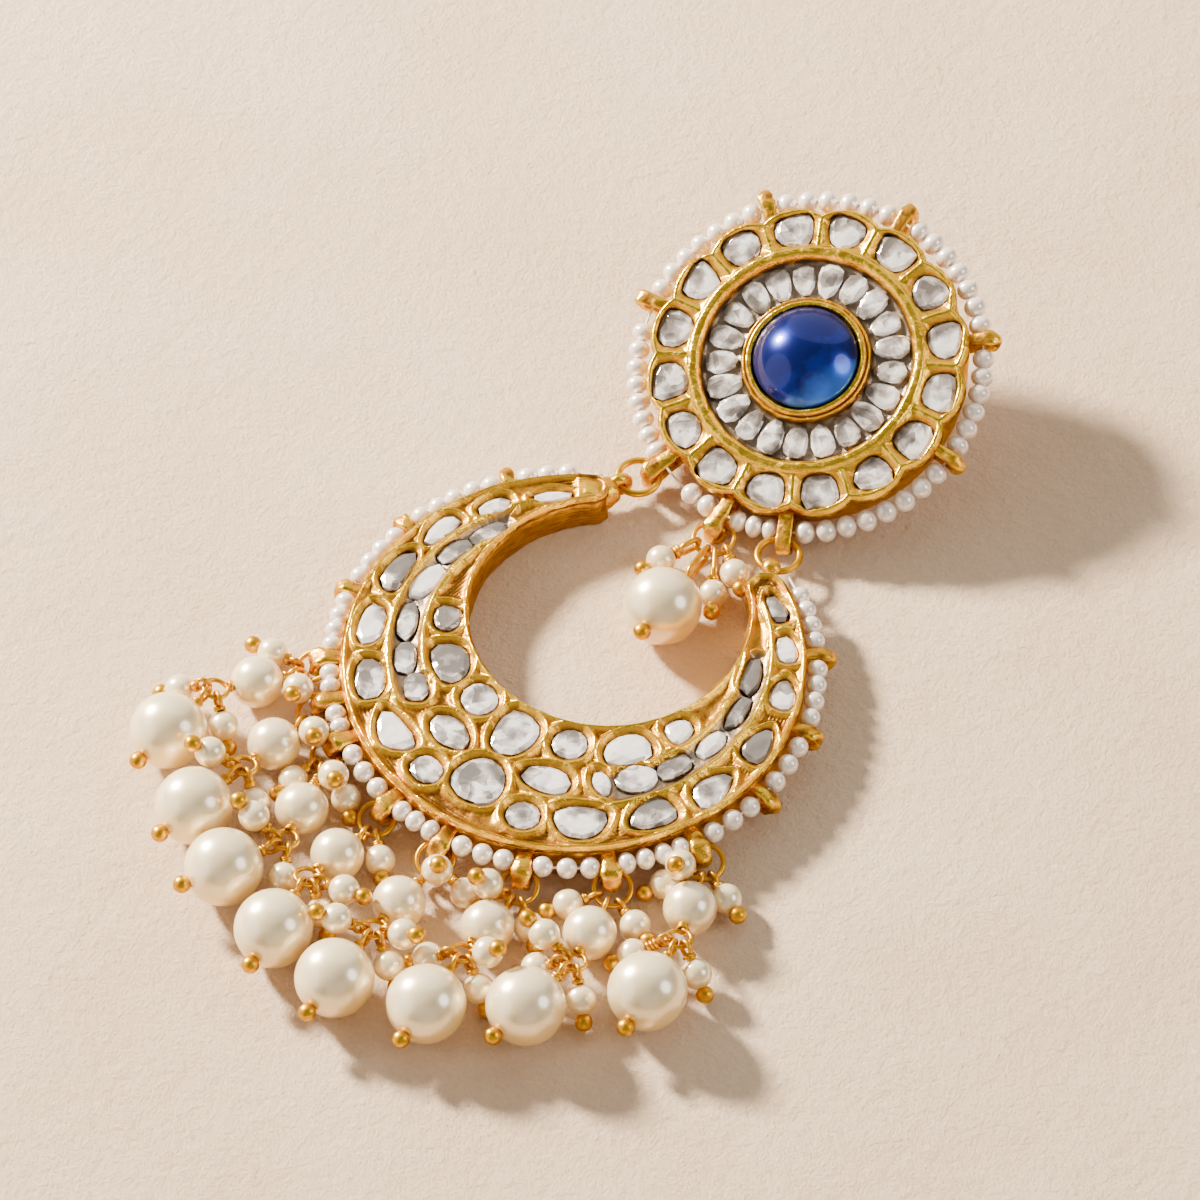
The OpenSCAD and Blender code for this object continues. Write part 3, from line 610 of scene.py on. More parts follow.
class Builder:
    """Collects rings of points and faces, and makes one mesh object."""

    def __init__(self) -> None:
        """Start empty."""
        self.points: list[Array] = []
        self.faces: list[Sequence[int]] = []
        self.values: dict[str, list[tuple[int, Array]]] = {}
        self.count = 0

    def add(self, points: Array, faces: Iterable[Sequence[int]],
            **values: Union[Array, float]) -> None:
        """Add a closed shell.

        Args:
            points: Rows of X, Y and Z in millimetres.
            faces: Corner numbers of each face.
            **values: A number for each point, or one for all. Points
                added without one have 0.
        """
        n = self.count
        self.points.append(np.asarray(points, float))
        self.faces.extend([i + n for i in face] for face in faces)
        for key, value in values.items():
            full = np.broadcast_to(np.asarray(value, float), (len(points),))
            self.values.setdefault(key, []).append((n, full))
        self.count += len(points)

    def make(self, name: str, material: bpy.types.Material,
             shade_smooth: bool = True, fix: bool = True) -> bpy.types.Object:
        """Make the object, at the origin.

        Args:
            name: The piece's name.
            material: Its finish.
            shade_smooth: Whether faces are shaded smooth.
            fix: Whether faces are turned to point outwards.

        Returns:
            The new object.
        """
        mesh = bpy.data.meshes.new(name)
        points = np.concatenate(self.points) * MM
        mesh.from_pydata(points.tolist(), [], self.faces)
        for key, parts in self.values.items():
            layer = mesh.attributes.new(key, "FLOAT", "POINT")
            row = np.zeros(len(points))
            for start, part in parts:
                row[start:start + len(part)] = part
            layer.data.foreach_set("value", row)
        if fix:
            bm = bmesh.new()
            bm.from_mesh(mesh)
            bmesh.ops.recalc_face_normals(bm, faces=bm.faces)
            bm.to_mesh(mesh)
            bm.free()
        mesh.polygons.foreach_set(
            "use_smooth", [shade_smooth] * len(mesh.polygons))
        mesh.materials.append(material)
        mesh.update()
        return add_object(name, mesh)


def claim(thing: bpy.types.Object, slot: str, *nodes: str) -> None:
    """Seat a piece in the frame and report it.

    Args:
        thing: The finished piece.
        slot: The record's material slot; not used.
        *nodes: CAD nodes that the piece stands for.
    """
    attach(thing, BODY)
    if nodes:
        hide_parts(*nodes)
    LOG.info("%s: %d faces, for %s", thing.name, len(thing.data.polygons),
             ", ".join(nodes) or "no node")


def tube_faces(rings: int, sides: int,
               closed: bool = False) -> list[list[int]]:
    """Return the faces of a tube of rings, with ends unless it is closed.

    Args:
        rings: How many rings of points there are.
        sides: Points of each ring.
        closed: Whether the last ring joins the first.

    Returns:
        Corner numbers of each face.
    """
    faces = []
    for j in range(rings if closed else rings - 1):
        a, b = j * sides, (j + 1) % rings * sides
        for k in range(sides):
            m = (k + 1) % sides
            faces.append([a + k, a + m, b + m, b + k])
    if not closed:
        faces.append(list(range(sides - 1, -1, -1)))
        faces.append([(rings - 1) * sides + k for k in range(sides)])
    return faces


def sweep(path: Array, radius: Union[float, Array], sides: int = 8,
          closed: bool = False) -> tuple[Array, list[list[int]]]:
    """Run a round section along a path.

    Args:
        path: Rows of X, Y and Z.
        radius: The section's radius, one for all or one a point.
        sides: Corners of the section.
        closed: Whether the path joins up.

    Returns:
        The points and faces of a closed tube.
    """
    n = len(path)
    ahead = np.roll(path, -1, 0) - np.roll(path, 1, 0)
    if not closed:
        ahead[0] = path[1] - path[0]
        ahead[-1] = path[-1] - path[-2]
    ahead /= np.linalg.norm(ahead, axis=1)[:, None]
    side = np.cross(ahead[0], [0.31, 0.52, 0.79])
    sides_at = []
    for way in ahead:
        side = unit(side - side.dot(way) * way)
        sides_at.append(side)
    across = np.array(sides_at)
    if closed:
        end = across[-1] - across[-1].dot(ahead[0]) * ahead[0]
        twist = math.atan2(np.cross(end, across[0]).dot(ahead[0]),
                           end.dot(across[0]))
        turn = twist * np.arange(n) / n
        up = np.cross(ahead, across)
        across = (across * np.cos(turn)[:, None]
                  + up * np.sin(turn)[:, None])
    up = np.cross(ahead, across)
    f = around(sides)
    r = np.broadcast_to(np.asarray(radius, float), (n,))[:, None, None]
    ring = (across[:, None] * np.cos(f)[None, :, None]
            + up[:, None] * np.sin(f)[None, :, None]) * r
    points = (path[:, None] + ring).reshape(-1, 3)
    return points, tube_faces(n, sides, closed)


def lathe(profile: Array, steps: int) -> tuple[Array, list[list[int]]]:
    """Turn a profile about Z, with a single point at each pole.

    Args:
        profile: Rows of radius and height, from one pole to the other.
        steps: Steps round the axis.

    Returns:
        The points and faces of a closed form.
    """
    f = around(steps)
    inner = profile[1:-1]
    body = np.stack([inner[:, 0:1] * np.cos(f), inner[:, 0:1] * np.sin(f),
                     np.repeat(inner[:, 1:2], steps, 1)], -1)
    points = np.concatenate([[[0, 0, profile[0, 1]]], body.reshape(-1, 3),
                             [[0, 0, profile[-1, 1]]]])
    rows, last = len(inner), len(points) - 1
    faces: list[list[int]] = []
    end = 1 + (rows - 1) * steps
    for k in range(steps):
        m = (k + 1) % steps
        faces.append([0, 1 + m, 1 + k])
        faces.append([last, end + k, end + m])
        for j in range(rows - 1):
            a = 1 + j * steps
            faces.append([a + k, a + m, a + steps + m, a + steps + k])
    return points, faces


def ball_rows(radius: float, steps: int, start: float = 0.0,
              squash: float = 1.0) -> Array:
    """Return a ball's profile, for lathe.

    Args:
        radius: Its radius.
        steps: How many rows the profile has.
        start: Angle between the axis and the first row, in radians.
        squash: Its height as a share of its width.
    """
    f = np.linspace(start, math.pi - start, steps)
    return np.stack([radius * np.sin(f), -squash * radius * np.cos(f)], -1)


@dataclass(frozen=True)
class Axes:
    """A local frame: a centre and three directions."""

    centre: Array
    x: Array
    y: Array
    z: Array

    @classmethod
    def along(cls, centre: Array, z: Array) -> "Axes":
        """Return a frame whose Z runs along a direction.

        Args:
            centre: Its centre.
            z: Direction of its Z.
        """
        z = unit(z)
        helper = [0, 1, 0] if abs(z[2]) > 0.9 else [0, 0, 1]
        x = unit(np.cross(helper, z))
        return cls(np.asarray(centre, float), x, np.cross(z, x), z)

    def out(self, points: Array) -> Array:
        """Return local points in the model's frame."""
        p = np.atleast_2d(points)
        return (self.centre + p[:, 0:1] * self.x + p[:, 1:2] * self.y
                + p[:, 2:3] * self.z)


# Where things lie
@dataclass(frozen=True)
class EarringSize:
    """Sizes shared by the whole earring, as in the CAD."""

    shift: tuple[float, float, float] = (1.93709, -5.84225, 0.0)
    crescent_r: float = 22.9
    bay_r: float = 13.85
    bay_shift: float = 6.7
    left_horn: float = -158.0
    right_horn: float = 150.0
    crescent_strap: float = 2.7
    strap_z: float = 2.5
    disc_r: float = 16.6
    disc_height: float = 4.5
    disc_tilt: float = 22.0
    disc_x: float = 3.0
    disc_y: float = 40.4
    disc_strap: float = 3.6
    disc_strap_z: float = 1.9
    strap_hole: float = 0.75
    strap_wall: float = 0.5
    strap_w: float = 1.6
    ring_r: float = 1.8
    centre_ring_r: float = 2.1
    ring_wire: float = 0.44
    link_wire: float = 0.6
    horn_eye_r: float = 0.95
    horn_wire: float = 0.84
    ring_dip: float = 16.0
    wire: float = 0.4
    small_eye: float = 0.7
    upper_eye: float = 0.85
    lower_eye: float = 1.2
    big_eye: float = 0.85
    centre_eye: float = 0.95
    centre_small_eye: float = 0.75
    centre_neck: float = 1.2
    small_neck: float = 0.45
    large_neck: float = 0.6
    ball_r: float = 0.68
    play: float = 0.15
    small_pearl: float = 1.5
    middle_pearl: float = 2.6
    big_pearl: float = 3.8
    centre_pearl: float = 3.9
    seed_r: float = 1.0
    bore_r: float = 0.3
    rest: float = 0.05
    gap: float = 0.06


@dataclass(frozen=True)
class Ring:
    """A wire ring."""

    centre: Array
    normal: Array
    radius: float
    wire: float

    def way(self, bearing: float) -> Array:
        """Return the direction in the ring's plane nearest a bearing."""
        h = heading(bearing)
        return unit(h - h.dot(self.normal) * self.normal)


@dataclass(frozen=True)
class Pin:
    """A wire with an eye, a neck and a pearl, hung on a ring."""

    eye: Array
    normal: Array
    way: Array
    eye_r: float
    neck: float
    pearl_r: float
    slack: float = 0.0

    @property
    def pearl(self) -> Array:
        """Centre of the pearl."""
        return self.eye + self.way * (self.eye_r + self.neck + self.pearl_r)


# Each drop: its angle round the crescent, hook and bearing of its middle
# link, hook and bearing of its big pearl, longer neck in middle pearl radii
DROPS = (
    (-61, -36, -36, -20, -8, 0), (-49, -16, -8, -10, -14, 0),
    (-37, 10, 12, -18, -30, 0.54), (-16.5, -8, -8, 0, 4, 0),
    (0, -2, 0, -2, -2, 0.19), (19.5, 2, 0, 2, 0, 0),
    (39.5, 10, 10, -6, -12, 0), (60.5, 20, 16, 6, 4, 0))
# Drop from 1, ring (0 the jump ring, 1 the lower eye), hook, bearing, lift
# in pearl radii, longer neck in pearl radii
SMALL_PINS = (
    (1, 0, -80, -84, 0.1, 0), (1, 0, 5, 16, 1.3, 0),
    (1, 1, -75, -66, 0.8, 0), (1, 1, 40, 46, 0.5, 0),
    (2, 0, 28, 34, 1.5, 0), (2, 1, -68, -58, 2.8, 0),
    (2, 1, 45, 48, 0.5, 0),
    (3, 0, -30, -12, 0, 0), (3, 0, 38, 40, 1.9, 0.53),
    (3, 0, 68, 43, 0, 0.62), (3, 1, -80, -90, 2.4, 0),
    (3, 1, 42, 24, 0.5, 0),
    (4, 0, 30, 38, 0, 0), (4, 1, 98, 93, 1.75, 0), (4, 1, 54, 52, 0.5, 0),
    (5, 0, 30, 44, 1.75, 0), (5, 0, 64, 72, 0, 0.07),
    (5, 1, -60, -60, 2.5, 0), (5, 1, 98, 84, 2.6, 0),
    (5, 1, 52, 54, 0.5, 0),
    (6, 0, -34, -40, 1.7, 0), (6, 0, 38, 46, 0, 0),
    (6, 1, -55, -70, 0.5, 0), (6, 1, 98, 84, 3, 0),
    (6, 1, 56, 56, 0.5, 0),
    (7, 0, -34, -42, 0, 0), (7, 0, 52, 64, 0, 0),
    (7, 1, -110, -99, 2, 0), (7, 1, -62, -63, 0.5, 0),
    (7, 1, 45, 40, 0.6, 0),
    (8, 0, -45, 8, 1.9, 0), (8, 0, -14, -36, 0, 0),
    (8, 0, 56, 60, 0, 0), (8, 1, -50, -47, 0.5, 0.53),
    (8, 1, 60, 58, 0.5, 0))
# Hook, bearing, lift, longer eye in pearl radii, whether it is the large one
CENTRE_PINS = ((8, 3, 0, 0.82, True), (-38, -28, 0.1, 0.6, False),
               (32, 28, 0.05, 1.26, False), (66, 46, 0.35, 0.1, False))
# Angles of the straps, in degrees
PLAIN_STRAPS = (-133, -105, -82, 81, 101.5, 124)
DISC_STRAPS = (-177, -118, -91, -69, -9, 33, 85, 132)
HOOKED_STRAPS = DISC_STRAPS[1:4]


class Layout:
    """Where each ring, pin and pearl lies, by the CAD's own rules."""

    def __init__(self, size: EarringSize) -> None:
        """Work out the shared frames.

        Args:
            size: Sizes of the earring.
        """
        self.size = size
        self.shift = np.array(size.shift)
        tilt = math.radians(size.disc_tilt)
        self.disc_up = np.array([0, -math.sin(tilt), math.cos(tilt)])
        self.disc_v = np.array([0, math.cos(tilt), math.sin(tilt)])
        self.disc_centre = self.shift + [
            size.disc_x, size.disc_y, size.disc_r * math.sin(tilt)
            + size.disc_height * math.cos(tilt) + size.rest]
        self.disc_axes = Axes(self.disc_centre, np.array([1.0, 0, 0]),
                              self.disc_v, self.disc_up)
        self.hook_r = size.disc_r + 0.57 * size.disc_strap

    def spot(self, angle: float, radius: float, z: float) -> Array:
        """Return a place round the crescent's centre."""
        a = math.radians(angle)
        return self.shift + [radius * math.sin(a), -radius * math.cos(a), z]

    def on_disc(self, angle: float, radius: float, depth: float) -> Array:
        """Return a place on or under the disc's face."""
        a = math.radians(angle)
        return self.disc_axes.out(np.array(
            [radius * math.cos(a), radius * math.sin(a), -depth]))[0]

    def pin(self, ring: Ring, hook: float, bearing: float, lift: float,
            eye: float, neck: float, pearl: float,
            slack: float = 0.0) -> Pin:
        """Hang a pin on a ring.

        Args:
            ring: The ring that the eye hooks into.
            hook: Where on the ring, as a bearing.
            bearing: Bearing of the pin.
            lift: Pearl's lift off the floor as a share of its radius.
            eye: Radius of the eye.
            neck: Length of the wrapped neck.
            pearl: Radius of the pearl.
            slack: Drawn-out length of the eye.

        Returns:
            The pin.
        """
        s = self.size
        way = ring.way(hook)
        spot = ring.centre + ring.radius * way
        inside = eye - ring.wire - s.wire / 2 - s.play
        reach = inside + eye + neck + pearl
        rise = math.degrees(math.asin(
            (pearl * (1 + lift) + s.rest - spot[2]) / reach))
        d = heading(bearing, rise)
        t = np.cross(ring.normal, way)
        return Pin(spot + d * inside, unit(t - t.dot(d) * d), d, eye, neck,
                   pearl, slack)

    def jump_ring(self, drop: int) -> Ring:
        """Return the jump ring of a drop.

        Args:
            drop: Number of the drop from 0.
        """
        s = self.size
        angle = DROPS[drop][0]
        d = heading(angle, -s.ring_dip)
        hook = self.spot(angle, s.crescent_r + s.crescent_strap
                         - s.strap_wall - 1.5 * s.strap_hole, s.strap_z)
        return Ring(hook + d * s.ring_r, unit(np.cross(d, tangent(angle))),
                    s.ring_r, s.ring_wire / 2)

    def middle(self, drop: int) -> Pin:
        """Return the link of a drop's middle pearl.

        Args:
            drop: Number of the drop from 0.
        """
        s, row = self.size, DROPS[drop]
        return self.pin(self.jump_ring(drop), row[1], row[2], 0,
                        s.upper_eye, s.large_neck + row[5] * s.middle_pearl,
                        s.middle_pearl)

    def lower_eye(self, drop: int) -> Ring:
        """Return the eye below a drop's middle pearl.

        Args:
            drop: Number of the drop from 0.
        """
        s, link = self.size, self.middle(drop)
        side = unit(np.cross(link.way, [0, 0, 1]))
        return Ring(link.pearl + link.way
                    * (link.pearl_r + s.large_neck + s.lower_eye),
                    np.cross(side, link.way), s.lower_eye, s.wire / 2)

    def big(self, drop: int) -> Pin:
        """Return the pin of a drop's big pearl."""
        s, row = self.size, DROPS[drop]
        return self.pin(self.lower_eye(drop), row[3], row[4], 0, s.big_eye,
                        s.large_neck, s.big_pearl)

    def small(self, drop: int) -> list[Pin]:
        """Return the pins of a drop's small pearls.

        Args:
            drop: Number of the drop from 0.
        """
        s = self.size
        hosts = (self.jump_ring(drop), self.lower_eye(drop))
        return [self.pin(hosts[row[1]], row[2], row[3], row[4], s.small_eye,
                         s.small_neck + row[5] * s.small_pearl,
                         s.small_pearl)
                for row in SMALL_PINS if row[0] == drop + 1]

    def centre_ring(self) -> Ring:
        """Return the ring of the centre drop."""
        s = self.size
        hook = self.on_disc(DISC_STRAPS[2], self.hook_r, s.disc_strap_z)
        return Ring(hook + heading(16) * s.centre_ring_r,
                    np.array([0.0, 0, 1]), s.centre_ring_r, s.ring_wire / 2)

    def centre_pins(self) -> list[Pin]:
        """Return the four pins of the centre drop, the large one first."""
        s, made = self.size, []
        for hook, bearing, lift, share, large in CENTRE_PINS:
            pearl = s.centre_pearl if large else s.small_pearl
            eye = s.centre_eye if large else s.centre_small_eye
            neck = s.centre_neck if large else s.large_neck
            made.append(self.pin(
                self.centre_ring(), hook, bearing, lift, eye,
                neck + share * pearl, pearl, share * pearl))
        return made

    def horn_eye(self, left: bool) -> Array:
        """Return the centre of a horn's eye.

        Args:
            left: Whether it is the left horn's.
        """
        s = self.size
        out = unit([0.25, 1, 0] if left else [-0.5, 1, 0])
        angle = s.left_horn if left else s.right_horn
        return (self.spot(angle, s.crescent_r - 0.5, s.strap_z)
                + (s.horn_eye_r + s.horn_wire / 2) * out)

    def link_ring(self, left: bool) -> Ring:
        """Return the ring that joins a horn to the disc.

        Args:
            left: Whether it is the left horn's.
        """
        s, eye = self.size, self.horn_eye(left)
        strap = DISC_STRAPS[1 if left else 3]
        hook = self.on_disc(strap, self.hook_r, s.disc_strap_z)
        near = eye + unit(hook - eye) * (
            s.horn_eye_r - s.horn_wire / 2 - s.link_wire / 2 - s.play)
        way = unit(hook - near)
        side = unit(np.cross(way, [0, 0, 1]))
        return Ring((near + hook) / 2, unit(np.cross(side, way)),
                    float(np.linalg.norm(hook - near)) / 2, s.link_wire / 2)

    def bay_edge(self, angle: Array) -> Array:
        """Return the radius of the bay's edge."""
        s, a = self.size, np.radians(angle)
        return (-s.bay_shift * np.cos(a) + np.sqrt(
            s.bay_r ** 2 - (s.bay_shift * np.sin(a)) ** 2))

    def gold_span(self, angle: float) -> tuple[float, float]:
        """Return the middle and half the width of the gold at an angle."""
        edge = float(self.bay_edge(np.array(angle)))
        r = self.size.crescent_r
        return (r + edge) / 2, (r - edge) / 2

    def horn_cap(self, angle: float) -> float:
        """Return the angle where a horn's round cap starts.

        Args:
            angle: The angle that the cap reaches.
        """
        mid, half = self.gold_span(angle)
        return angle - math.copysign(math.degrees(half / mid), angle)


# Stones
class Cut(Enum):
    """How square a stone's outline is, as the power of its curve."""

    LENS = 1.7
    OVAL = 2.1
    PEBBLE = 2.5
    CUSHION = 3.2


@dataclass(frozen=True)
class Outline:
    """A stone's outline: a rounded box with a taper and a pear shape."""

    length: float
    width: float
    taper: float = 0.0
    pear: float = 0.0
    cut: Cut = Cut.PEBBLE

    def level(self, x: Array, y: Array) -> Array:
        """Return 1 on the outline, less inside it and more outside.

        Args:
            x: Places along the length.
            y: Places across it.
        """
        p = self.cut.value
        across = np.clip(y / self.width, -1.5, 1.5)
        along = np.clip(x / self.length, -1.5, 1.5)
        wide = self.length * (1 + self.taper * across)
        tall = self.width * (1 + self.pear * along)
        return (np.abs(x / wide) ** p + np.abs(y / tall) ** p) ** (1 / p)

    def distance(self, x: Array, y: Array) -> Array:
        """Return the distance from the outline, negative inside."""
        return np.hypot(x, y) * (1 - 1 / np.maximum(self.level(x, y), 0.02))

    def reach(self, angle: Array) -> Array:
        """Return the outline's distance from its centre.

        Args:
            angle: Directions in radians.
        """
        c, s = np.cos(angle), np.sin(angle)
        r = np.full(len(angle), 0.5 * (self.length + self.width))
        for _ in range(14):
            r = r / self.level(r * c, r * s)
        return r


@dataclass(frozen=True)
class Stone:
    """A stone in its pocket."""

    outline: Outline
    axes: Axes
    low: float
    high: float


def nearest(places: Array, stones: Iterable[Stone]) -> tuple[Array, Array]:
    """Return the distances from the nearest stone and from the next one.

    Args:
        places: Places in the model's frame.
        stones: The stones.
    """
    near, second = np.full(len(places), 9.0), np.full(len(places), 9.0)
    for stone in stones:
        local = places - stone.axes.centre
        d = stone.outline.distance(local @ stone.axes.x,
                                   local @ stone.axes.y)
        second = np.minimum(second, np.maximum(near, d))
        near = np.minimum(near, d)
    return near, second


def cut_stones(name: str, stones: Sequence[Stone], seed: int,
               material: bpy.types.Material) -> bpy.types.Object:
    """Make flat-cut stones with irregular facets.

    Args:
        name: The piece's name.
        stones: The stones.
        seed: Fixed seed of the facets.
        material: Their finish.

    Returns:
        One object with all the stones.
    """
    rng = np.random.default_rng(seed)
    builder = Builder()
    tones: list[float] = []
    for stone in stones:
        span = math.sqrt(stone.outline.length * stone.outline.width)
        sides = int(np.clip(round(8 + 3 * span), 10, 16))
        rows = []
        tall = stone.high - stone.low
        spin = rng.uniform(0, 6)
        lean = rng.normal(0, 0.025, 2)
        for share, height, count, jitter in (
                (0.96, 0.0, sides, 0.0), (1.0, 0.60, sides, 0.01),
                (0.84, 0.86, sides // 2 + 2, 0.05),
                (rng.uniform(0.42, 0.60), 1.0, rng.integers(4, 7), 0.12)):
            f = (spin + 2 * math.pi * np.arange(count) / count
                 + rng.uniform(-0.3, 0.3, count) * 4 / count)
            r = (stone.outline.reach(f) - 0.03) * share \
                * (1 - rng.uniform(0, 2 * jitter, count))
            x, y = r * np.cos(f), r * np.sin(f)
            z = stone.low + tall * height \
                - (rng.uniform(0, 0.08, count) if height > 0.7 else 0)
            if height > 0.9:
                z = z + (x * lean[0] + y * lean[1]) - abs(lean).sum() * span
            rows.append(np.stack([x, y, np.broadcast_to(z, (count,))], -1))
        bm = bmesh.new()
        for point in np.concatenate(rows):
            bm.verts.new(point)
        bmesh.ops.convex_hull(bm, input=bm.verts)
        loose = [v for v in bm.verts if not v.link_faces]
        bmesh.ops.delete(bm, geom=loose, context="VERTS")
        bmesh.ops.dissolve_limit(bm, angle_limit=math.radians(5),
                                 verts=bm.verts, edges=bm.edges)
        bm.normal_update()
        bm.verts.index_update()
        kept = np.array([v.co[:] for v in bm.verts])
        faces = [[v.index for v in face.verts] for face in bm.faces]
        # Painted light: shade lightens the table, across lightens the side
        # towards the light
        shade = np.clip((kept[:, 2] - stone.low) / tall * 1.6 - 0.6, 0, 1)
        places = stone.axes.out(kept)
        way = LIT_SIDE + rng.normal(0, 0.5, 3)
        across = (places - stone.axes.centre) @ unit(way) / span
        builder.add(places, faces, relief=shade, across=across)
        # Each facet's tone is random and lighter the more it faces up; that
        # lift is painted light
        for face in bm.faces:
            flat = max(face.normal.z, 0)
            tones.append(float(np.clip(
                rng.normal(0.36 + 0.3 * flat, 0.26), 0, 1)))
        bm.free()
    thing = builder.make(name, material, shade_smooth=False, fix=False)
    layer = thing.data.attributes.new("tone", "FLOAT", "FACE")
    layer.data.foreach_set("value", tones)
    return thing


# Crescent
# Angle from the bottom; radius, half length and half width as shares of the
# crescent's radius; taper, turn in degrees, pear shape, cut
OUTER_STONES = (
    (-143, 0.880, 0.090, 0.027, 0, 0, -0.1, Cut.PEBBLE),
    (-126, 0.890, 0.074, 0.042, 0, 0, 0.1, Cut.PEBBLE),
    (-109, 0.903, 0.094, 0.044, -0.1, 4, 0.25, Cut.PEBBLE),
    (-91, 0.895, 0.114, 0.052, -0.1, 3, -0.2, Cut.PEBBLE),
    (-71, 0.887, 0.104, 0.055, 0.15, -2, 0.0, Cut.PEBBLE),
    (-52, 0.874, 0.102, 0.064, 0.1, -6, 0.0, Cut.PEBBLE),
    (-33, 0.858, 0.105, 0.062, -0.25, -2, -0.35, Cut.PEBBLE),
    (-16, 0.849, 0.072, 0.064, 0, 0, 0, Cut.OVAL),
    (16.5, 0.842, 0.072, 0.066, 0, 0, 0, Cut.OVAL),
    (33, 0.853, 0.105, 0.078, -0.25, -6, 0, Cut.PEBBLE),
    (53, 0.875, 0.098, 0.068, 0.1, 8, -0.35, Cut.PEBBLE),
    (72, 0.900, 0.100, 0.062, 0.15, 4, 0.35, Cut.OVAL),
    (91, 0.910, 0.092, 0.058, 0.1, 0, 0.4, Cut.OVAL),
    (109, 0.912, 0.075, 0.054, 0.1, 5, 0.3, Cut.OVAL),
    (124, 0.912, 0.068, 0.045, 0.1, 12, 0.1, Cut.PEBBLE),
    (138, 0.912, 0.078, 0.038, 0.1, 6, 0.3, Cut.PEBBLE))
MIDDLE_STONES = (
    (-120, 0.772, 0.094, 0.040, 0, 2, 0.1, Cut.OVAL),
    (-107, 0.776, 0.080, 0.043, 0, -6, 0, Cut.PEBBLE),
    (-92, 0.760, 0.104, 0.048, 0, -6, 0.1, Cut.OVAL),
    (-75, 0.745, 0.102, 0.042, 0, 8, -0.1, Cut.OVAL),
    (-59.5, 0.722, 0.078, 0.046, 0, -2, 0, Cut.PEBBLE),
    (-46.5, 0.688, 0.068, 0.050, 0, -10, 0, Cut.CUSHION),
    (-22.5, 0.650, 0.106, 0.068, 0, 5, 0.1, Cut.LENS),
    (-1, 0.747, 0.110, 0.112, 0.15, 0, 0, Cut.OVAL),
    (-1, 0.470, 0.088, 0.112, -0.15, 0, 0.1, Cut.PEBBLE),
    (20.5, 0.641, 0.108, 0.062, 0, -10, -0.15, Cut.OVAL),
    (41.5, 0.660, 0.036, 0.062, 0, 10, 0, Cut.LENS),
    (54, 0.681, 0.086, 0.064, 0, -12, 0, Cut.OVAL),
    (68, 0.709, 0.076, 0.046, 0, -6, 0, Cut.CUSHION),
    (83.5, 0.739, 0.080, 0.042, 0, -5, 0, Cut.OVAL),
    (99, 0.757, 0.096, 0.034, 0, -8, 0, Cut.OVAL),
    (114, 0.768, 0.094, 0.040, 0, -8, 0.15, Cut.PEBBLE))
INNER_STONES = (
    (-80.5, 0.585, 0.064, 0.060, 0, 4, 0.2, Cut.PEBBLE),
    (-56.5, 0.525, 0.100, 0.078, 0.15, 8, 0.15, Cut.PEBBLE),
    (-31, 0.454, 0.080, 0.076, 0, 0, 0, Cut.OVAL),
    (29, 0.450, 0.074, 0.073, 0, 0, 0, Cut.OVAL),
    (56.5, 0.530, 0.100, 0.072, 0.15, -10, -0.1, Cut.PEBBLE),
    (81, 0.588, 0.060, 0.055, 0.1, -10, 0.2, Cut.PEBBLE))
# Height above the floor and distance outwards, down the side wall
CRESCENT_WALL = (
    (4.45, 0), (4.3, 0.0), (4.15, -0.04), (4.02, -0.20), (3.86, -0.12),
    (3.6, -0.05), (2.9, -0.06), (2.0, -0.04), (1.1, -0.08), (0.4, -0.22),
    (0.06, -0.5))


@dataclass(frozen=True)
class Ridge:
    """A raised line between two rows of stones, along part of a circle.

    Lengths are shares of the crescent's radius and angles are degrees from
    the bottom: the ridge fades in over the first pair, out over the second.
    """

    shift: float
    radius: float
    start: tuple[float, float]
    end: tuple[float, float]
    width: float

    def offset(self, p: Array, r: float) -> Array:
        """Return the distance of places from the line, positive outside."""
        return np.hypot(p[:, 0], p[:, 1] - self.shift * r) - self.radius * r

    def lift(self, p: Array, turn: Array, r: float) -> Array:
        """Return the ridge's height at places, from 0 to 1."""
        shown = smooth(*self.start, turn) * (1 - smooth(*self.end, turn))
        return shown * tent(self.offset(p, r), self.width)


OUTER_RIDGE = Ridge(0.052, 0.825, (36, 44), (138, 146), 0.50)
INNER_RIDGE = Ridge(0.087, 0.694, (42, 50), (122, 128), 0.46)


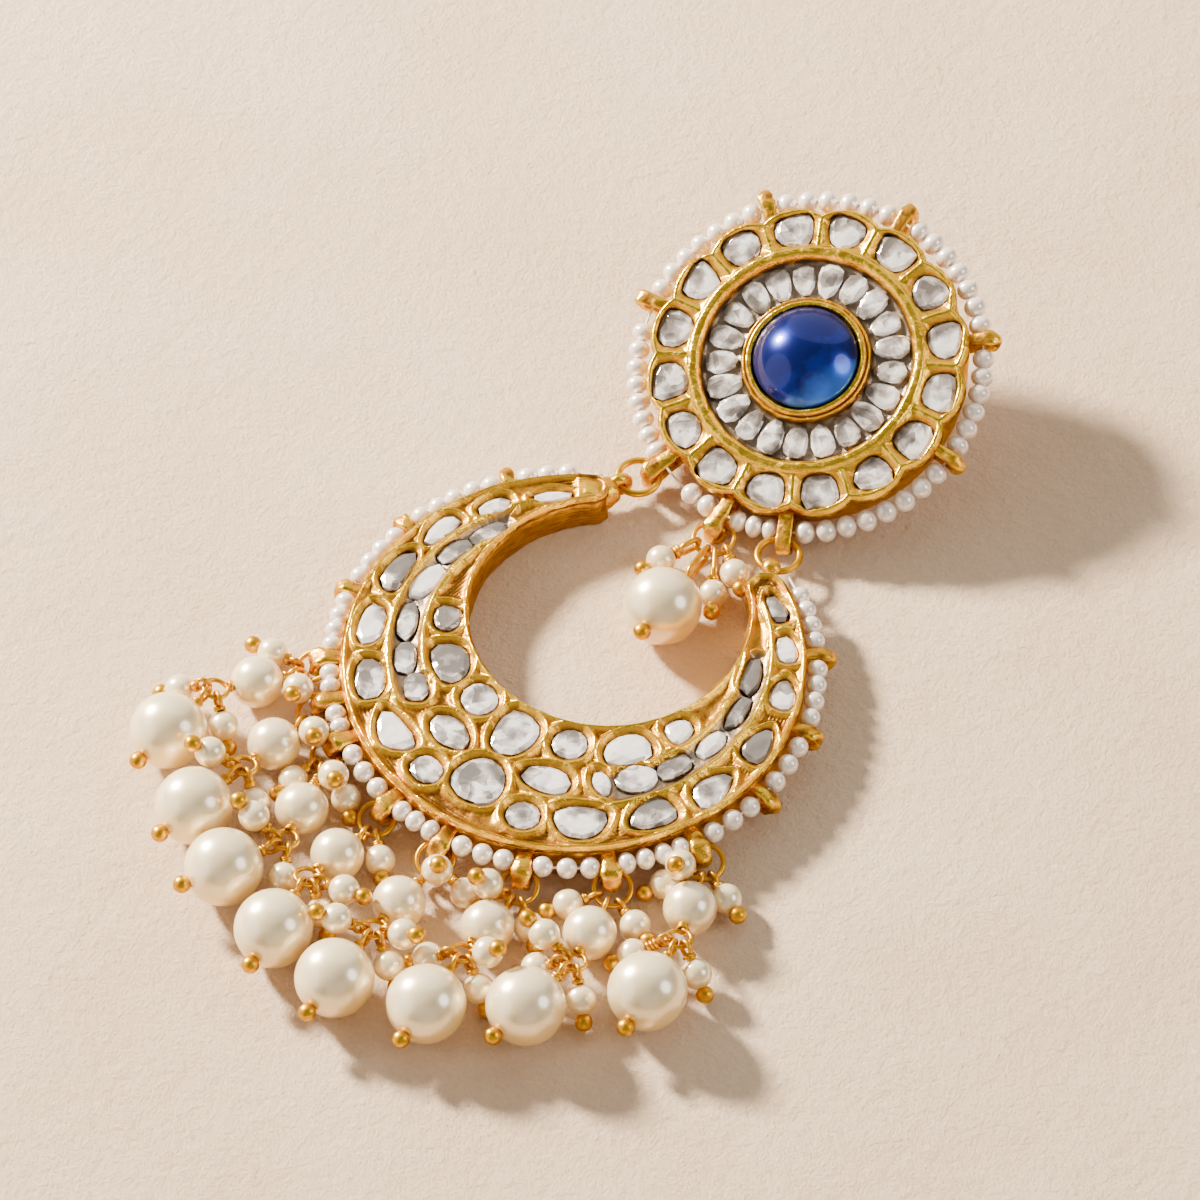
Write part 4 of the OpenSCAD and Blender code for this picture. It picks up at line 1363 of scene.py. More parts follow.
@dataclass
class CrescentSetting:
    """The gold crescent: rims, ridges, arches, pockets and side walls."""

    layout: Layout
    field_z: float = 4.42
    crest_z: float = 0.62
    wall: float = 0.66
    rim: float = 0.34
    rim_wide: float = 0.40
    line_pitch: float = 0.36
    line_deep: float = 0.13
    stone_fill: float = 1.05
    channel_fill: float = 1.10
    pocket_z: float = 3.95
    channel_z: float = 4.22
    channel_from: float = 40
    channel_ends: tuple[float, float] = (127, 120)
    stone_low: float = 3.98
    stone_high: float = 4.84
    columns: int = 700
    across: int = 100

    def stones(self, rows: Sequence[tuple]) -> list[Stone]:
        """Return the stones of one table.

        Args:
            rows: Rows of the stone table.
        """
        r, made = self.layout.size.crescent_r, []
        for angle, share, length, width, taper, turn, pear, cut in rows:
            centre = self.layout.spot(angle, share * r, 0)
            grow = r * (self.channel_fill if rows is MIDDLE_STONES
                        and abs(angle) > self.channel_from
                        else self.stone_fill)
            made.append(Stone(
                Outline(length * grow, width * grow, taper, pear, cut),
                Axes(centre, -tangent(angle + turn), heading(angle + turn),
                     np.array([0.0, 0, 1])),
                self.stone_low, self.stone_high))
        return made

    def _columns(self) -> tuple[Array, Array, Array, Array]:
        """Lay out the columns from the left horn to the right one.

        Returns:
            Each column's inner and outer end and the ends' outward
            directions.
        """
        lay, s = self.layout, self.layout.size
        left, right = lay.horn_cap(s.left_horn), lay.horn_cap(s.right_horn)
        inner, outer, n_in, n_out = [], [], [], []
        cap_steps = 12

        def cap(angle: float, order: Iterable[int]) -> None:
            """Add a round cap's columns."""
            out = heading(angle)[:2]
            along = tangent(angle)[:2] * math.copysign(1, angle)
            mid, half = lay.gold_span(angle)
            for k in order:
                f = k / cap_steps * math.radians(84)
                go, wide = half * math.sin(f), half * math.cos(f)
                inner.append(out * (mid - wide) + along * go)
                outer.append(out * (mid + wide) + along * go)
                n_in.append(-out * math.cos(f) + along * math.sin(f))
                n_out.append(out * math.cos(f) + along * math.sin(f))

        cap(left, range(cap_steps, 0, -1))
        for angle in np.linspace(left, right, self.columns - 2 * cap_steps):
            out = heading(angle)[:2]
            place = out * float(lay.bay_edge(np.array(angle)))
            inner.append(place)
            outer.append(out * s.crescent_r)
            n_in.append(unit(np.array([0, s.bay_shift]) - place))
            n_out.append(out)
        cap(right, range(1, cap_steps + 1))
        return (np.array(inner), np.array(outer), np.array(n_in),
                np.array(n_out))

    def _edge(self, p: Array, angle: Array) -> tuple[Array, Array]:
        """Return the distances from the outer and the inner edge.

        Args:
            p: Places in the crescent's own plane.
            angle: Their angles from the bottom.
        """
        lay, s = self.layout, self.layout.size
        outer = s.crescent_r - np.hypot(p[:, 0], p[:, 1])
        inner = np.hypot(p[:, 0], p[:, 1] - s.bay_shift) - s.bay_r
        for horn in (s.left_horn, s.right_horn):
            cap = lay.horn_cap(horn)
            mid, half = lay.gold_span(cap)
            beyond = (angle - cap) * math.copysign(1, cap) > 0
            near = half - np.hypot(*(p - heading(cap)[:2] * mid).T)
            outer = np.where(beyond, near, outer)
            inner = np.where(beyond, near, inner)
        return outer, inner

    def relief(self, p: Array) -> tuple[Array, Array, Array]:
        """Return the height, the painted light and shade, and bare foil of the
        top face.

        Args:
            p: Places in the crescent's own plane.
        """
        r = self.layout.size.crescent_r
        angle = np.degrees(np.arctan2(p[:, 0], -p[:, 1]))
        outer, inner = self._edge(p, angle)
        turn = np.abs(angle)
        flat = np.column_stack([p + self.layout.shift[:2],
                                np.zeros(len(p))])
        near, second = nearest(flat, [
            stone for rows in (OUTER_STONES, MIDDLE_STONES, INNER_STONES)
            for stone in self.stones(rows)])
        end = np.where(angle < 0, *self.channel_ends)
        channel = smooth(self.channel_from, self.channel_from + 7, turn) \
            * (1 - smooth(0, 5, turn - end)) \
            * smooth(0.05, 0.40, -OUTER_RIDGE.offset(p, r)) \
            * smooth(0.05, 0.40, INNER_RIDGE.offset(p, r))
        top = np.minimum(self.wall, (near + second) / 2)
        ring = np.where(near < top, np.clip(near / top, 0, 1) ** 1.25,
                        tent(near - top, 0.36)) * (1 - channel)
        rims = np.maximum(tent(outer - self.rim, self.rim_wide),
                          tent(inner - self.rim, self.rim_wide))
        ridges = np.maximum(OUTER_RIDGE.lift(p, turn, r),
                            INNER_RIDGE.lift(p, turn, r))
        block = smooth(148, 150.5, -angle)
        dent = Ripple(31, 1.1)(flat)
        lift = np.maximum.reduce([0.94 * ring, rims, 1.12 * ridges,
                                  block * (0.95 + 0.22 * dent)])
        z = self.field_z + self.crest_z * lift
        z = z + (self.channel_z - self.field_z) * channel * (1 - lift)
        patch = smooth(-0.2, 0.2, Ripple(21, 5.0)(flat))
        lines = 0.5 + 0.5 * np.cos(2 * math.pi * (
            outer + 0.25 * np.sin(angle * 0.2)) / self.line_pitch)
        cut = lines * patch * smooth(0.2, 0.5, near - top) \
            * (1 - lift) * (1 - channel)
        z = z - self.line_deep * cut
        z = z + (self.pocket_z - z) * (1 - smooth(-0.14, 0.04, near))
        z = z - 0.40 * (1 - smooth(-0.05, 0.34, np.minimum(outer, inner)))
        space = np.column_stack([p, z])
        z = z + (0.06 * Ripple(3, 2.4)(space) + 0.03 * Ripple(4, 0.8)(space))
        # Painted light: raised parts get painted highlights, the gold gets
        # painted shade where it meets the stones and in the engraved lines
        seam_shade = crest(near + 0.02, 0.11)
        bright = (0.08 + 0.90 * lift ** 1.5 - 0.3 * cut) * (1 - 0.75 * seam_shade)
        bright = bright + block * (0.5 + 0.35 * dent - bright)
        return z, np.clip(bright, 0, 1), channel * (1 - lift)

    def build(self, palette: Palette) -> None:
        """Build the setting and its three fields of stones.

        Args:
            palette: The finishes.
        """
        inner, outer, n_in, n_out = self._columns()
        n, m = len(inner), self.across
        t = np.linspace(0, 1, m)
        t = 0.5 * t + 0.5 * (0.5 - 0.5 * np.cos(math.pi * t))
        top = inner[:, None] * (1 - t[None, :, None]) \
            + outer[:, None] * t[None, :, None]
        z, bright, foil = (row.reshape(n, m) for row in
                           self.relief(top.reshape(-1, 2)))
        wall = np.array(CRESCENT_WALL)
        span = np.minimum(np.linalg.norm(outer - inner, axis=1) / 2.4, 1)
        rings = [np.concatenate([top, z[:, :, None]], 2)]
        brights, walls, foils = [bright], [np.zeros((n, m))], [foil]
        # Share of the darker wall tone each wall gets, partly painted shade;
        # the inner wall gets the most
        for edge, normal, steps, warm_tone_and_shade in ((outer, n_out, wall, 0.55),
                                          (inner, n_in, wall[::-1], 1.0)):
            out = steps[:, 1][None, :, None] * span[:, None, None]
            flat = edge[:, None] + normal[:, None] * out
            heights = np.broadcast_to(steps[:, 0], (n, len(steps)))
            side = np.concatenate([flat, heights[:, :, None]], 2)
            bend = 0.06 * Ripple(5, 2.0)(side.reshape(-1, 3)) \
                + 0.03 * Ripple(6, 0.7)(side.reshape(-1, 3))
            side[:, :, :2] += normal[:, None] * bend.reshape(n, -1, 1) \
                * (heights > 0.3)[:, :, None]
            rings.append(side)
            # Painted highlight: a lighter band on the wall just under its top
            # edge
            shade = 0.42 + 0.35 * (np.abs(heights - 4.2) < 0.2) \
                - 0.35 * (np.abs(heights - 4.0) < 0.1)
            brights.append(shade)
            walls.append(np.full((n, len(steps)), warm_tone_and_shade))
            foils.append(np.zeros((n, len(steps))))
        space = np.concatenate(rings, 1)
        builder = Builder()
        builder.add(space.reshape(-1, 3) + self.layout.shift,
                    tube_faces(n, space.shape[1]),
                    relief=np.concatenate(brights, 1).ravel(),
                    side=np.concatenate(walls, 1).ravel(),
                    foil=np.concatenate(foils, 1).ravel())
        Straps(self.layout).on_crescent(builder)
        HornEyes(self.layout).add(builder)
        claim(builder.make("crescent_gold", palette.gold), "gold",
              "crescent_setting")
        for name, rows, seed in (("outer", OUTER_STONES, 11),
                                 ("middle", MIDDLE_STONES, 12),
                                 ("inner", INNER_STONES, 13)):
            thing = cut_stones(f"crescent_{name}_cut_stones",
                               self.stones(rows), seed, palette.stone)
            claim(thing, "clear_stone", f"crescent_{name}_stones")


STRAP_STEPS = (0, 0.45, 0.8, 1)


class StrapForm(Enum):
    """Swelling, roundness and waist of a strap's free end."""

    FLAT = (0.02, 0.42, (1.0, 1.0, 1.0, 0.95))
    SLIM = (0.26, 0.85, (0.78, 0.84, 1.04, 0.72))
    KNOB = (0.55, 0.90, (0.85, 1.05, 1.42, 1.15))


@dataclass
class Straps:
    """Hammered bands that stand out from a rim."""

    layout: Layout
    corners: int = 16
    free_out: float = 2.9
    lump_mm: float = 0.9
    inward: float = 0.60

    def band(self, builder: Builder, axes: Axes, out: float,
             seed: int, form: StrapForm) -> None:
        """Add one bent band.

        Args:
            builder: Where it goes.
            axes: Root of the band, X outwards and Z up.
            out: How far it stands out.
            seed: Fixed seed of its hammering.
            form: The shape of its free end.
        """
        s = self.layout.size
        c = s.strap_hole + s.strap_wall / 2
        tip = out - s.strap_hole - s.strap_wall
        f = np.linspace(90, -90, 17)
        x = np.concatenate([np.linspace(-0.5, tip, 6)[:-1],
                            tip + c * np.cos(np.radians(f)),
                            np.linspace(tip, -0.5, 6)[1:]])
        z = np.concatenate([np.full(5, c), c * np.sin(np.radians(f)),
                            np.full(5, -c)])
        ahead = np.gradient(np.stack([x, z], -1), axis=0)
        ahead /= np.linalg.norm(ahead, axis=1)[:, None]
        across = np.stack([-ahead[:, 1], ahead[:, 0]], -1)
        g = around(self.corners)
        cg, sg = np.cos(g), np.sin(g)
        outward, power, waist = form.value
        wide = s.strap_w / 2 * np.sign(cg) * np.abs(cg) ** power
        thick = s.strap_wall / 2 * np.sign(sg) * np.abs(sg) ** 0.6
        grown = np.where(sg > 0, outward, self.inward * (power - 0.4)) \
            * np.sign(sg) * np.abs(sg) ** 0.6
        n = len(x)
        bulge = np.sin(np.linspace(0, math.pi, n))[:, None]
        narrow = np.interp(bulge[:, 0], STRAP_STEPS, waist)
        px = x[:, None] + across[:, 0:1] * (thick + grown * bulge)
        pz = z[:, None] + across[:, 1:2] * (thick + grown * bulge)
        py = wide[None] * narrow[:, None] + np.zeros_like(px)
        local = np.stack([px, py, pz], -1).reshape(-1, 3)
        lump = Ripple(seed, self.lump_mm)(local)
        tip_x = local[:, 0:1] > 0
        local = local * (1 + 0.09 * lump[:, None] * tip_x * (power - 0.3))
        points = axes.out(local)
        builder.add(points, tube_faces(n, self.corners),
                    relief=np.clip(0.5 + 0.45 * lump, 0, 1), side=0.3)

    def on_crescent(self, builder: Builder) -> None:
        """Add the straps round the crescent.

        Args:
            builder: Where they go.
        """
        s = self.layout.size
        angles = PLAIN_STRAPS + tuple(row[0] for row in DROPS)
        for k, angle in enumerate(angles):
            axes = Axes(self.layout.spot(angle, s.crescent_r, s.strap_z),
                        heading(angle), tangent(angle),
                        np.array([0.0, 0, 1]))
            self.band(builder, axes, s.crescent_strap, 40 + k,
                      StrapForm.SLIM if k < len(PLAIN_STRAPS)
                      else StrapForm.KNOB)

    def on_disc(self, builder: Builder) -> None:
        """Add the straps round the disc.

        Args:
            builder: Where they go.
        """
        s, lay = self.layout.size, self.layout
        for k, angle in enumerate(DISC_STRAPS):
            a = math.radians(angle)
            out = (lay.disc_axes.x * math.cos(a)
                   + lay.disc_axes.y * math.sin(a))
            side = np.cross(lay.disc_up, out)
            axes = Axes(lay.on_disc(angle, s.disc_r, s.disc_strap_z), out,
                        side, lay.disc_up)
            hooked = angle in HOOKED_STRAPS
            form = StrapForm.KNOB if hooked else StrapForm.SLIM
            self.band(builder, axes, s.disc_strap if hooked
                      else self.free_out, 70 + k, StrapForm.FLAT
                      if angle == HOOKED_STRAPS[-1] else form)


@dataclass
class HornEyes:
    """The eyes at the horns' ends, with their collars."""

    layout: Layout
    knob_r: float = 0.95
    knob_back: float = 0.35
    block: tuple[float, ...] = (1.75, 1.65, 1.5, 1.2)
    collar: tuple[float, ...] = (1.1, 0.95, 0.8, 0.55)

    def add(self, builder: Builder) -> None:
        """Add both eyes.

        Args:
            builder: Where they go.
        """
        lay, s = self.layout, self.layout.size
        for left, horn, strap in ((True, s.left_horn, 1),
                                  (False, s.right_horn, 3)):
            eye = lay.horn_eye(left)
            cap = lay.horn_cap(horn)
            base = lay.spot(cap, lay.gold_span(cap)[0], s.strap_z)
            hook = lay.on_disc(DISC_STRAPS[strap], lay.hook_r,
                               s.disc_strap_z)
            d = unit(hook - eye)
            n = unit(np.cross([0, 0, 1], d))
            f = around(36)
            up = np.cross(n, d)
            path = eye + s.horn_eye_r * (np.cos(f)[:, None] * d
                                         + np.sin(f)[:, None] * up)
            lump = Ripple(90 + left, 1.0)(path)
            thick = s.horn_wire / 2 * (
                (1.42 if left else 1.0) + (0.12 if left else 0.04) * lump)
            builder.add(*sweep(path, thick, 12, closed=True),
                        relief=np.repeat(np.clip(
                            0.5 + 0.45 * lump, 0, 1), 12), side=0.3)
            way = unit(eye - base)
            reach = float(np.linalg.norm(eye - base)) - 0.62
            steps = np.linspace(0, reach, 18)
            shape = np.interp(steps / reach, [0, 0.55, 0.8, 1],
                              self.block if left else self.collar)
            line = base + steps[:, None] * way
            shape = shape * (1 + 0.08 * Ripple(95, 0.8)(line))
            points, faces = sweep(line, shape, 16)
            dent = Ripple(96, 0.9)(points)
            builder.add(points + 0.06 * dent[:, None] * (points - base)
                        / np.linalg.norm(points - base, axis=1)[:, None],
                        faces, relief=np.clip(0.45 + 0.4 * dent, 0, 1),
                        side=0.3)
            if not left:
                self._knob(builder, eye - self.knob_back * way)

    def _knob(self, builder: Builder, place: Array) -> None:
        """Add the round bead over the right horn's eye.

        Args:
            builder: Where it goes.
            place: The place under the bead's centre.
        """
        s = self.layout.size
        points, faces = lathe(ball_rows(self.knob_r, 14, squash=0.8), 22)
        dent = Ripple(97, 0.9)(points)
        axes = Axes.along(place + [0, 0, s.horn_eye_r + s.horn_wire / 4],
                          np.array([0.0, 0, 1]))
        builder.add(axes.out(points * (1 + 0.03 * dent[:, None])), faces,
                    relief=np.clip(0.6 + 0.3 * dent, 0, 1), side=0.0)


# Disc
# Half length and half width as shares of the stones' ring, taper, turn in
# degrees, pear shape, cut
DISC_OUTER = (
    (0.144, 0.120, 0.20, 4, 0.1, Cut.CUSHION),
    (0.140, 0.126, 0.15, -5, -0.2, Cut.PEBBLE),
    (0.136, 0.130, 0.10, 6, 0.25, Cut.OVAL),
    (0.146, 0.120, 0.22, 0, 0.0, Cut.CUSHION),
    (0.136, 0.126, 0.20, 5, -0.25, Cut.PEBBLE),
    (0.142, 0.124, 0.10, -4, 0.2, Cut.CUSHION),
    (0.138, 0.130, 0.15, 3, -0.1, Cut.PEBBLE),
    (0.134, 0.126, 0.25, 0, 0.25, Cut.CUSHION),
    (0.142, 0.128, 0.18, -6, 0.1, Cut.PEBBLE),
    (0.138, 0.130, 0.12, 4, -0.25, Cut.CUSHION),
    (0.145, 0.124, 0.20, 0, 0.0, Cut.OVAL),
    (0.138, 0.128, 0.10, 6, 0.2, Cut.CUSHION),
    (0.142, 0.126, 0.18, -3, -0.2, Cut.PEBBLE),
    (0.136, 0.130, 0.12, 2, 0.1, Cut.CUSHION),
    (0.140, 0.120, 0.22, -5, -0.25, Cut.PEBBLE),
    (0.138, 0.127, 0.12, 3, 0.15, Cut.CUSHION))
# Half length and half width as shares of the channel, taper, turn
DISC_INNER = (
    (0.290, 0.44, 0.30, 0), (0.275, 0.40, 0.20, 6), (0.290, 0.45, 0.25, -4),
    (0.270, 0.38, 0.30, 0), (0.285, 0.44, 0.20, 5), (0.275, 0.42, 0.25, -6),
    (0.285, 0.45, 0.30, 0), (0.270, 0.40, 0.20, 4), (0.290, 0.43, 0.30, 0),
    (0.280, 0.45, 0.20, -5), (0.270, 0.41, 0.30, 3), (0.285, 0.44, 0.20, 0),
    (0.280, 0.40, 0.25, 6), (0.285, 0.45, 0.25, -3), (0.290, 0.43, 0.30, 0),
    (0.270, 0.41, 0.20, 4), (0.285, 0.45, 0.25, 0), (0.285, 0.42, 0.20, -6),
    (0.275, 0.44, 0.30, 3), (0.285, 0.41, 0.25, 0), (0.290, 0.45, 0.20, 4))
# Distance outwards and height from the face, down the side wall
DISC_WALL = (
    (0.02, -0.55), (0.03, -0.72), (-0.02, -0.86), (-0.26, -0.96),
    (-0.14, -1.12), (-0.02, -1.30), (-0.05, -1.75), (-0.16, -2.5),
    (-0.22, -3.3), (-0.34, -4.0), (-0.62, -4.38), (-1.1, -4.5))


@dataclass
class DiscSetting:
    """The ear disc: lobes, cells, middle ring, channel and bezel."""

    layout: Layout
    lobes: int = 16
    stone_ring: float = 14.1
    middle_ring: float = 11.6
    bezel_in: float = 5.4
    bezel_out: float = 6.5
    channel_out: float = 10.85
    dome_high: float = 2.6
    dome_rise: float = 0.6
    field_z: float = -0.50
    crest_z: float = 0.05
    channel_z: float = -0.95
    pocket_z: float = -1.05
    dome_floor: float = -1.55
    cells_in: float = 12.42
    bezel_line: float = 5.86
    lip_line: float = 6.46
    columns: int = 800

    def edge(self, turn: Array) -> Array:
        """Return the radius of the scalloped edge.

        Args:
            turn: Angles in radians.
        """
        step = 2 * math.pi / self.lobes
        lobe = 1.7 * self.stone_ring * math.sin(step / 2)
        far = self.layout.size.disc_r - lobe
        off = (turn % step) - step / 2
        return far * np.cos(off) + np.sqrt(
            lobe ** 2 - (far * np.sin(off)) ** 2)

    def stones(self) -> tuple[list[Stone], list[Stone]]:
        """Return the outer and the inner ring of stones."""
        base = self.layout.disc_axes
        outer, inner = [], []

        def seat(angle: float, radius: float, turn: float) -> Axes:
            """Return a frame on the face, its Y pointing outwards."""
            a = math.radians(angle)
            centre = base.centre + radius * (
                math.cos(a) * base.x + math.sin(a) * base.y)
            b = math.radians(angle + turn)
            x = math.sin(b) * base.x - math.cos(b) * base.y
            return Axes(centre, x, np.cross(base.z, x), base.z)

        step = 360 / self.lobes
        for k, row in enumerate(DISC_OUTER):
            outer.append(Stone(
                Outline(row[0] * self.stone_ring, row[1] * self.stone_ring,
                        row[2], row[4], row[5]),
                seat((k + 0.5) * step, self.stone_ring, row[3]),
                self.pocket_z + 0.05, -0.13))
        wide = self.channel_out - self.bezel_out
        for k, row in enumerate(DISC_INNER):
            inner.append(Stone(
                Outline(row[0] * wide, row[1] * wide, row[2], 0, Cut.PEBBLE),
                seat(k * 360 / len(DISC_INNER), self.bezel_out + wide / 2,
                     row[3]),
                self.channel_z + 0.02, -0.22))
        return outer, inner

    def relief(self, radius: Array, turn: Array,
               edge: Array) -> tuple[Array, Array, Array]:
        """Return the height, the painted light and shade, and bare foil of the
        face.

        Args:
            radius: Distances from the centre.
            turn: Angles in radians.
            edge: Radius of the edge at each angle.
        """
        step = 2 * math.pi / self.lobes
        x, y = radius * np.cos(turn), radius * np.sin(turn)
        off = (turn + step / 2) % step - step / 2
        rim = edge - radius
        frame = self.layout.disc_axes
        flat = frame.centre + x[:, None] * frame.x + y[:, None] * frame.y
        near = nearest(flat, self.stones()[0])[0]
        cell = smooth(self.middle_ring, self.middle_ring + 0.4, radius)
        line = np.minimum.reduce([
            np.abs(radius * np.sin(off)), np.abs(rim - 0.42),
            np.maximum(radius - self.middle_ring - 0.55, 0)])
        slope = smooth(0, 1, near / np.maximum(near + line - 0.2, 0.01))
        lift = np.maximum(0.80 * slope, np.exp(-(line / 0.40) ** 4)) * cell
        lift = lift * smooth(-0.05, 0.10, near)
        ring = np.exp(-((radius - self.middle_ring) / 0.74) ** 4)
        bezel = np.exp(-((radius - self.bezel_line) / 0.44) ** 4)
        lip = crest(radius - self.lip_line, 0.17)
        channel = smooth(6.58, 6.72, radius) \
            * (1 - smooth(10.70, 10.92, radius))
        base = self.field_z + (self.channel_z - self.field_z) * channel
        base = base - 0.5 * (1 - smooth(5.36, 5.44, radius))
        z = base + (self.crest_z - self.field_z) * lift
        for height, shape in ((0.46, ring), (0.60, bezel), (0.30, lip)):
            z = np.maximum(z, base + (height - base) * shape)
        z = z + (self.pocket_z - z) * (1 - smooth(-0.14, 0.03, near))
        z = z - 0.38 * (1 - smooth(-0.05, 0.32, rim))
        space = np.column_stack([x, y, z])
        z = z + 0.05 * Ripple(7, 2.4)(space) + 0.028 * Ripple(8, 0.8)(space)
        # Painted light: raised walls and rings get painted highlights, a
        # painted shadow line runs inside the bezel, and painted shade rings
        # the stones
        bright = np.maximum.reduce([
            0.16 + 0.80 * lift ** 1.4, 0.9 * ring, 0.9 * bezel, 0.75 * lip])
        bright = bright - 0.5 * crest(radius - 6.26, 0.06)
        bright = bright * (1 - 0.75 * crest(near + 0.02, 0.11))
        foil = channel * (1 - ring) * (1 - lip)
        return z, np.clip(bright, 0, 1), foil

    def build(self, palette: Palette) -> None:
        """Build the disc, its stones and the blue dome.

        Args:
            palette: The finishes.
        """
        n = self.columns
        turn = around(n)
        edge = self.edge(turn)
        radii = [np.full(n, r) for r in (
            4.6, 5.30, *np.linspace(5.36, 6.66, 17),
            *np.linspace(6.9, 10.66, 12),
            *np.linspace(10.78, self.cells_in, 19))]
        radii += [self.cells_in + (edge - self.cells_in) * t
                  for t in np.linspace(0, 1, 37)[1:]]
        face = np.array(radii)
        rows = len(face)
        z, bright, foil = (row.reshape(rows, n) for row in self.relief(
            face.ravel(), np.tile(turn, rows), np.tile(edge, rows)))
        z[:2] = self.dome_floor
        mean = edge.mean()
        for out, depth in DISC_WALL:
            hold = smooth(-1.5, -4.2, np.array([depth]))[0]
            face = np.vstack([face, edge * (1 - hold) + mean * hold + out])
            z = np.vstack([z, np.full(n, depth)])
            # Painted light on the wall: lighter bands on its bulges, painted
            # shade in the groove
            shade = 0.75 if -1.4 < depth < -1.1 or depth > -0.8 else 0.4
            bright = np.vstack([bright, np.full(n, shade - 0.4 * (
                -1.0 < depth < -0.9))])
        x, y = face * np.cos(turn), face * np.sin(turn)
        local = np.stack([x, y, z], -1).reshape(-1, 3)
        side = np.zeros(len(local))
        # The walls take the darker brushed wall tone, partly painted shade
        side[rows * n:] = 0.8
        bend = 0.04 * Ripple(9, 2.0)(local) * (side > 0)
        local[:, :2] *= (1 + bend / np.hypot(*local[:, :2].T))[:, None]
        local = np.vstack([local, [[0, 0, self.dome_floor],
                                   [0, 0, DISC_WALL[-1][1]]]])
        total = len(face)
        faces: list[list[int]] = []
        top, bottom = total * n, total * n + 1
        for k in range(n):
            q = (k + 1) % n
            faces.append([top, k, q])
            faces.append([bottom, (total - 1) * n + q, (total - 1) * n + k])
            for j in range(total - 1):
                faces.append([j * n + k, (j + 1) * n + k,
                              (j + 1) * n + q, j * n + q])
        builder = Builder()
        bare = np.zeros(len(local))
        bare[:rows * n] = foil.ravel()
        builder.add(self.layout.disc_axes.out(local), faces,
                    relief=np.concatenate([bright.ravel(), [0, 0.3]]),
                    side=np.concatenate([side, [0, 0.8]]), foil=bare)
        Straps(self.layout).on_disc(builder)
        claim(builder.make("disc_gold", palette.gold), "gold",
              "disc_setting")
        outer, inner = self.stones()
        claim(cut_stones("disc_outer_cut_stones", outer, 21, palette.stone),
              "clear_stone", "disc_outer_stones")
        claim(cut_stones("disc_inner_cut_stones", inner, 22, palette.stone),
              "clear_stone", "disc_inner_stones")
        self._dome(palette)

    def _dome(self, palette: Palette) -> None:
        """Build the blue dome.

        Args:
            palette: The finishes.
        """
        base = self.bezel_in - 0.06
        ball = (base ** 2 + self.dome_high ** 2) / (2 * self.dome_high)
        centre = self.dome_rise + self.dome_high - ball
        f = np.linspace(math.asin(base / ball), 0, 26)
        rows = [(0.0, -1.5), (base - 0.3, -1.5), (base - 0.05, -1.3),
                (base, -0.6), (base, 0.3)]
        rows += [(ball * math.sin(t), centre + ball * math.cos(t))
                 for t in f]
        points, faces = lathe(np.array(rows), 96)
        builder = Builder()
        builder.add(self.layout.disc_axes.out(points), faces)
        claim(builder.make("blue_dome", palette.blue), "blue_stone",
              "blue_cabochon")


# Pearls and wires
@dataclass
class Pearls:
    """Drop pearls, a little uneven, dimpled where they are drilled."""

    layout: Layout
    dimple: float = 0.14
    # Side away from the key light, where the pearls' shade is painted
    shaded_side: tuple[float, float, float] = (0.45, -0.35, -0.75)

    def add(self, builder: Builder, pin: Pin, seed: int) -> None:
        """Add one pearl.

        Args:
            builder: Where it goes.
            pin: The pin that carries it.
            seed: Fixed seed of its shape.
        """
        r, bore = pin.pearl_r, self.layout.size.bore_r
        large = r > 2
        start = math.asin(bore / r)
        end = r * math.cos(start) - self.dimple
        rows = np.vstack([[0, -end], ball_rows(r, 28 if large else 18, start),
                          [0, end]])
        points, faces = lathe(rows, 48 if large else 30)
        points = points * (1 + 0.007 * Ripple(seed, r)(points))[:, None]
        axes = Axes(pin.pearl, pin.normal, np.cross(pin.way, pin.normal),
                    pin.way)
        places = axes.out(points)
        # Painted shade: under grows towards the side away from the light
        under = (places - pin.pearl) @ unit(self.shaded_side) / r
        builder.add(places, faces, under=smooth(-0.45, 0.8, under))


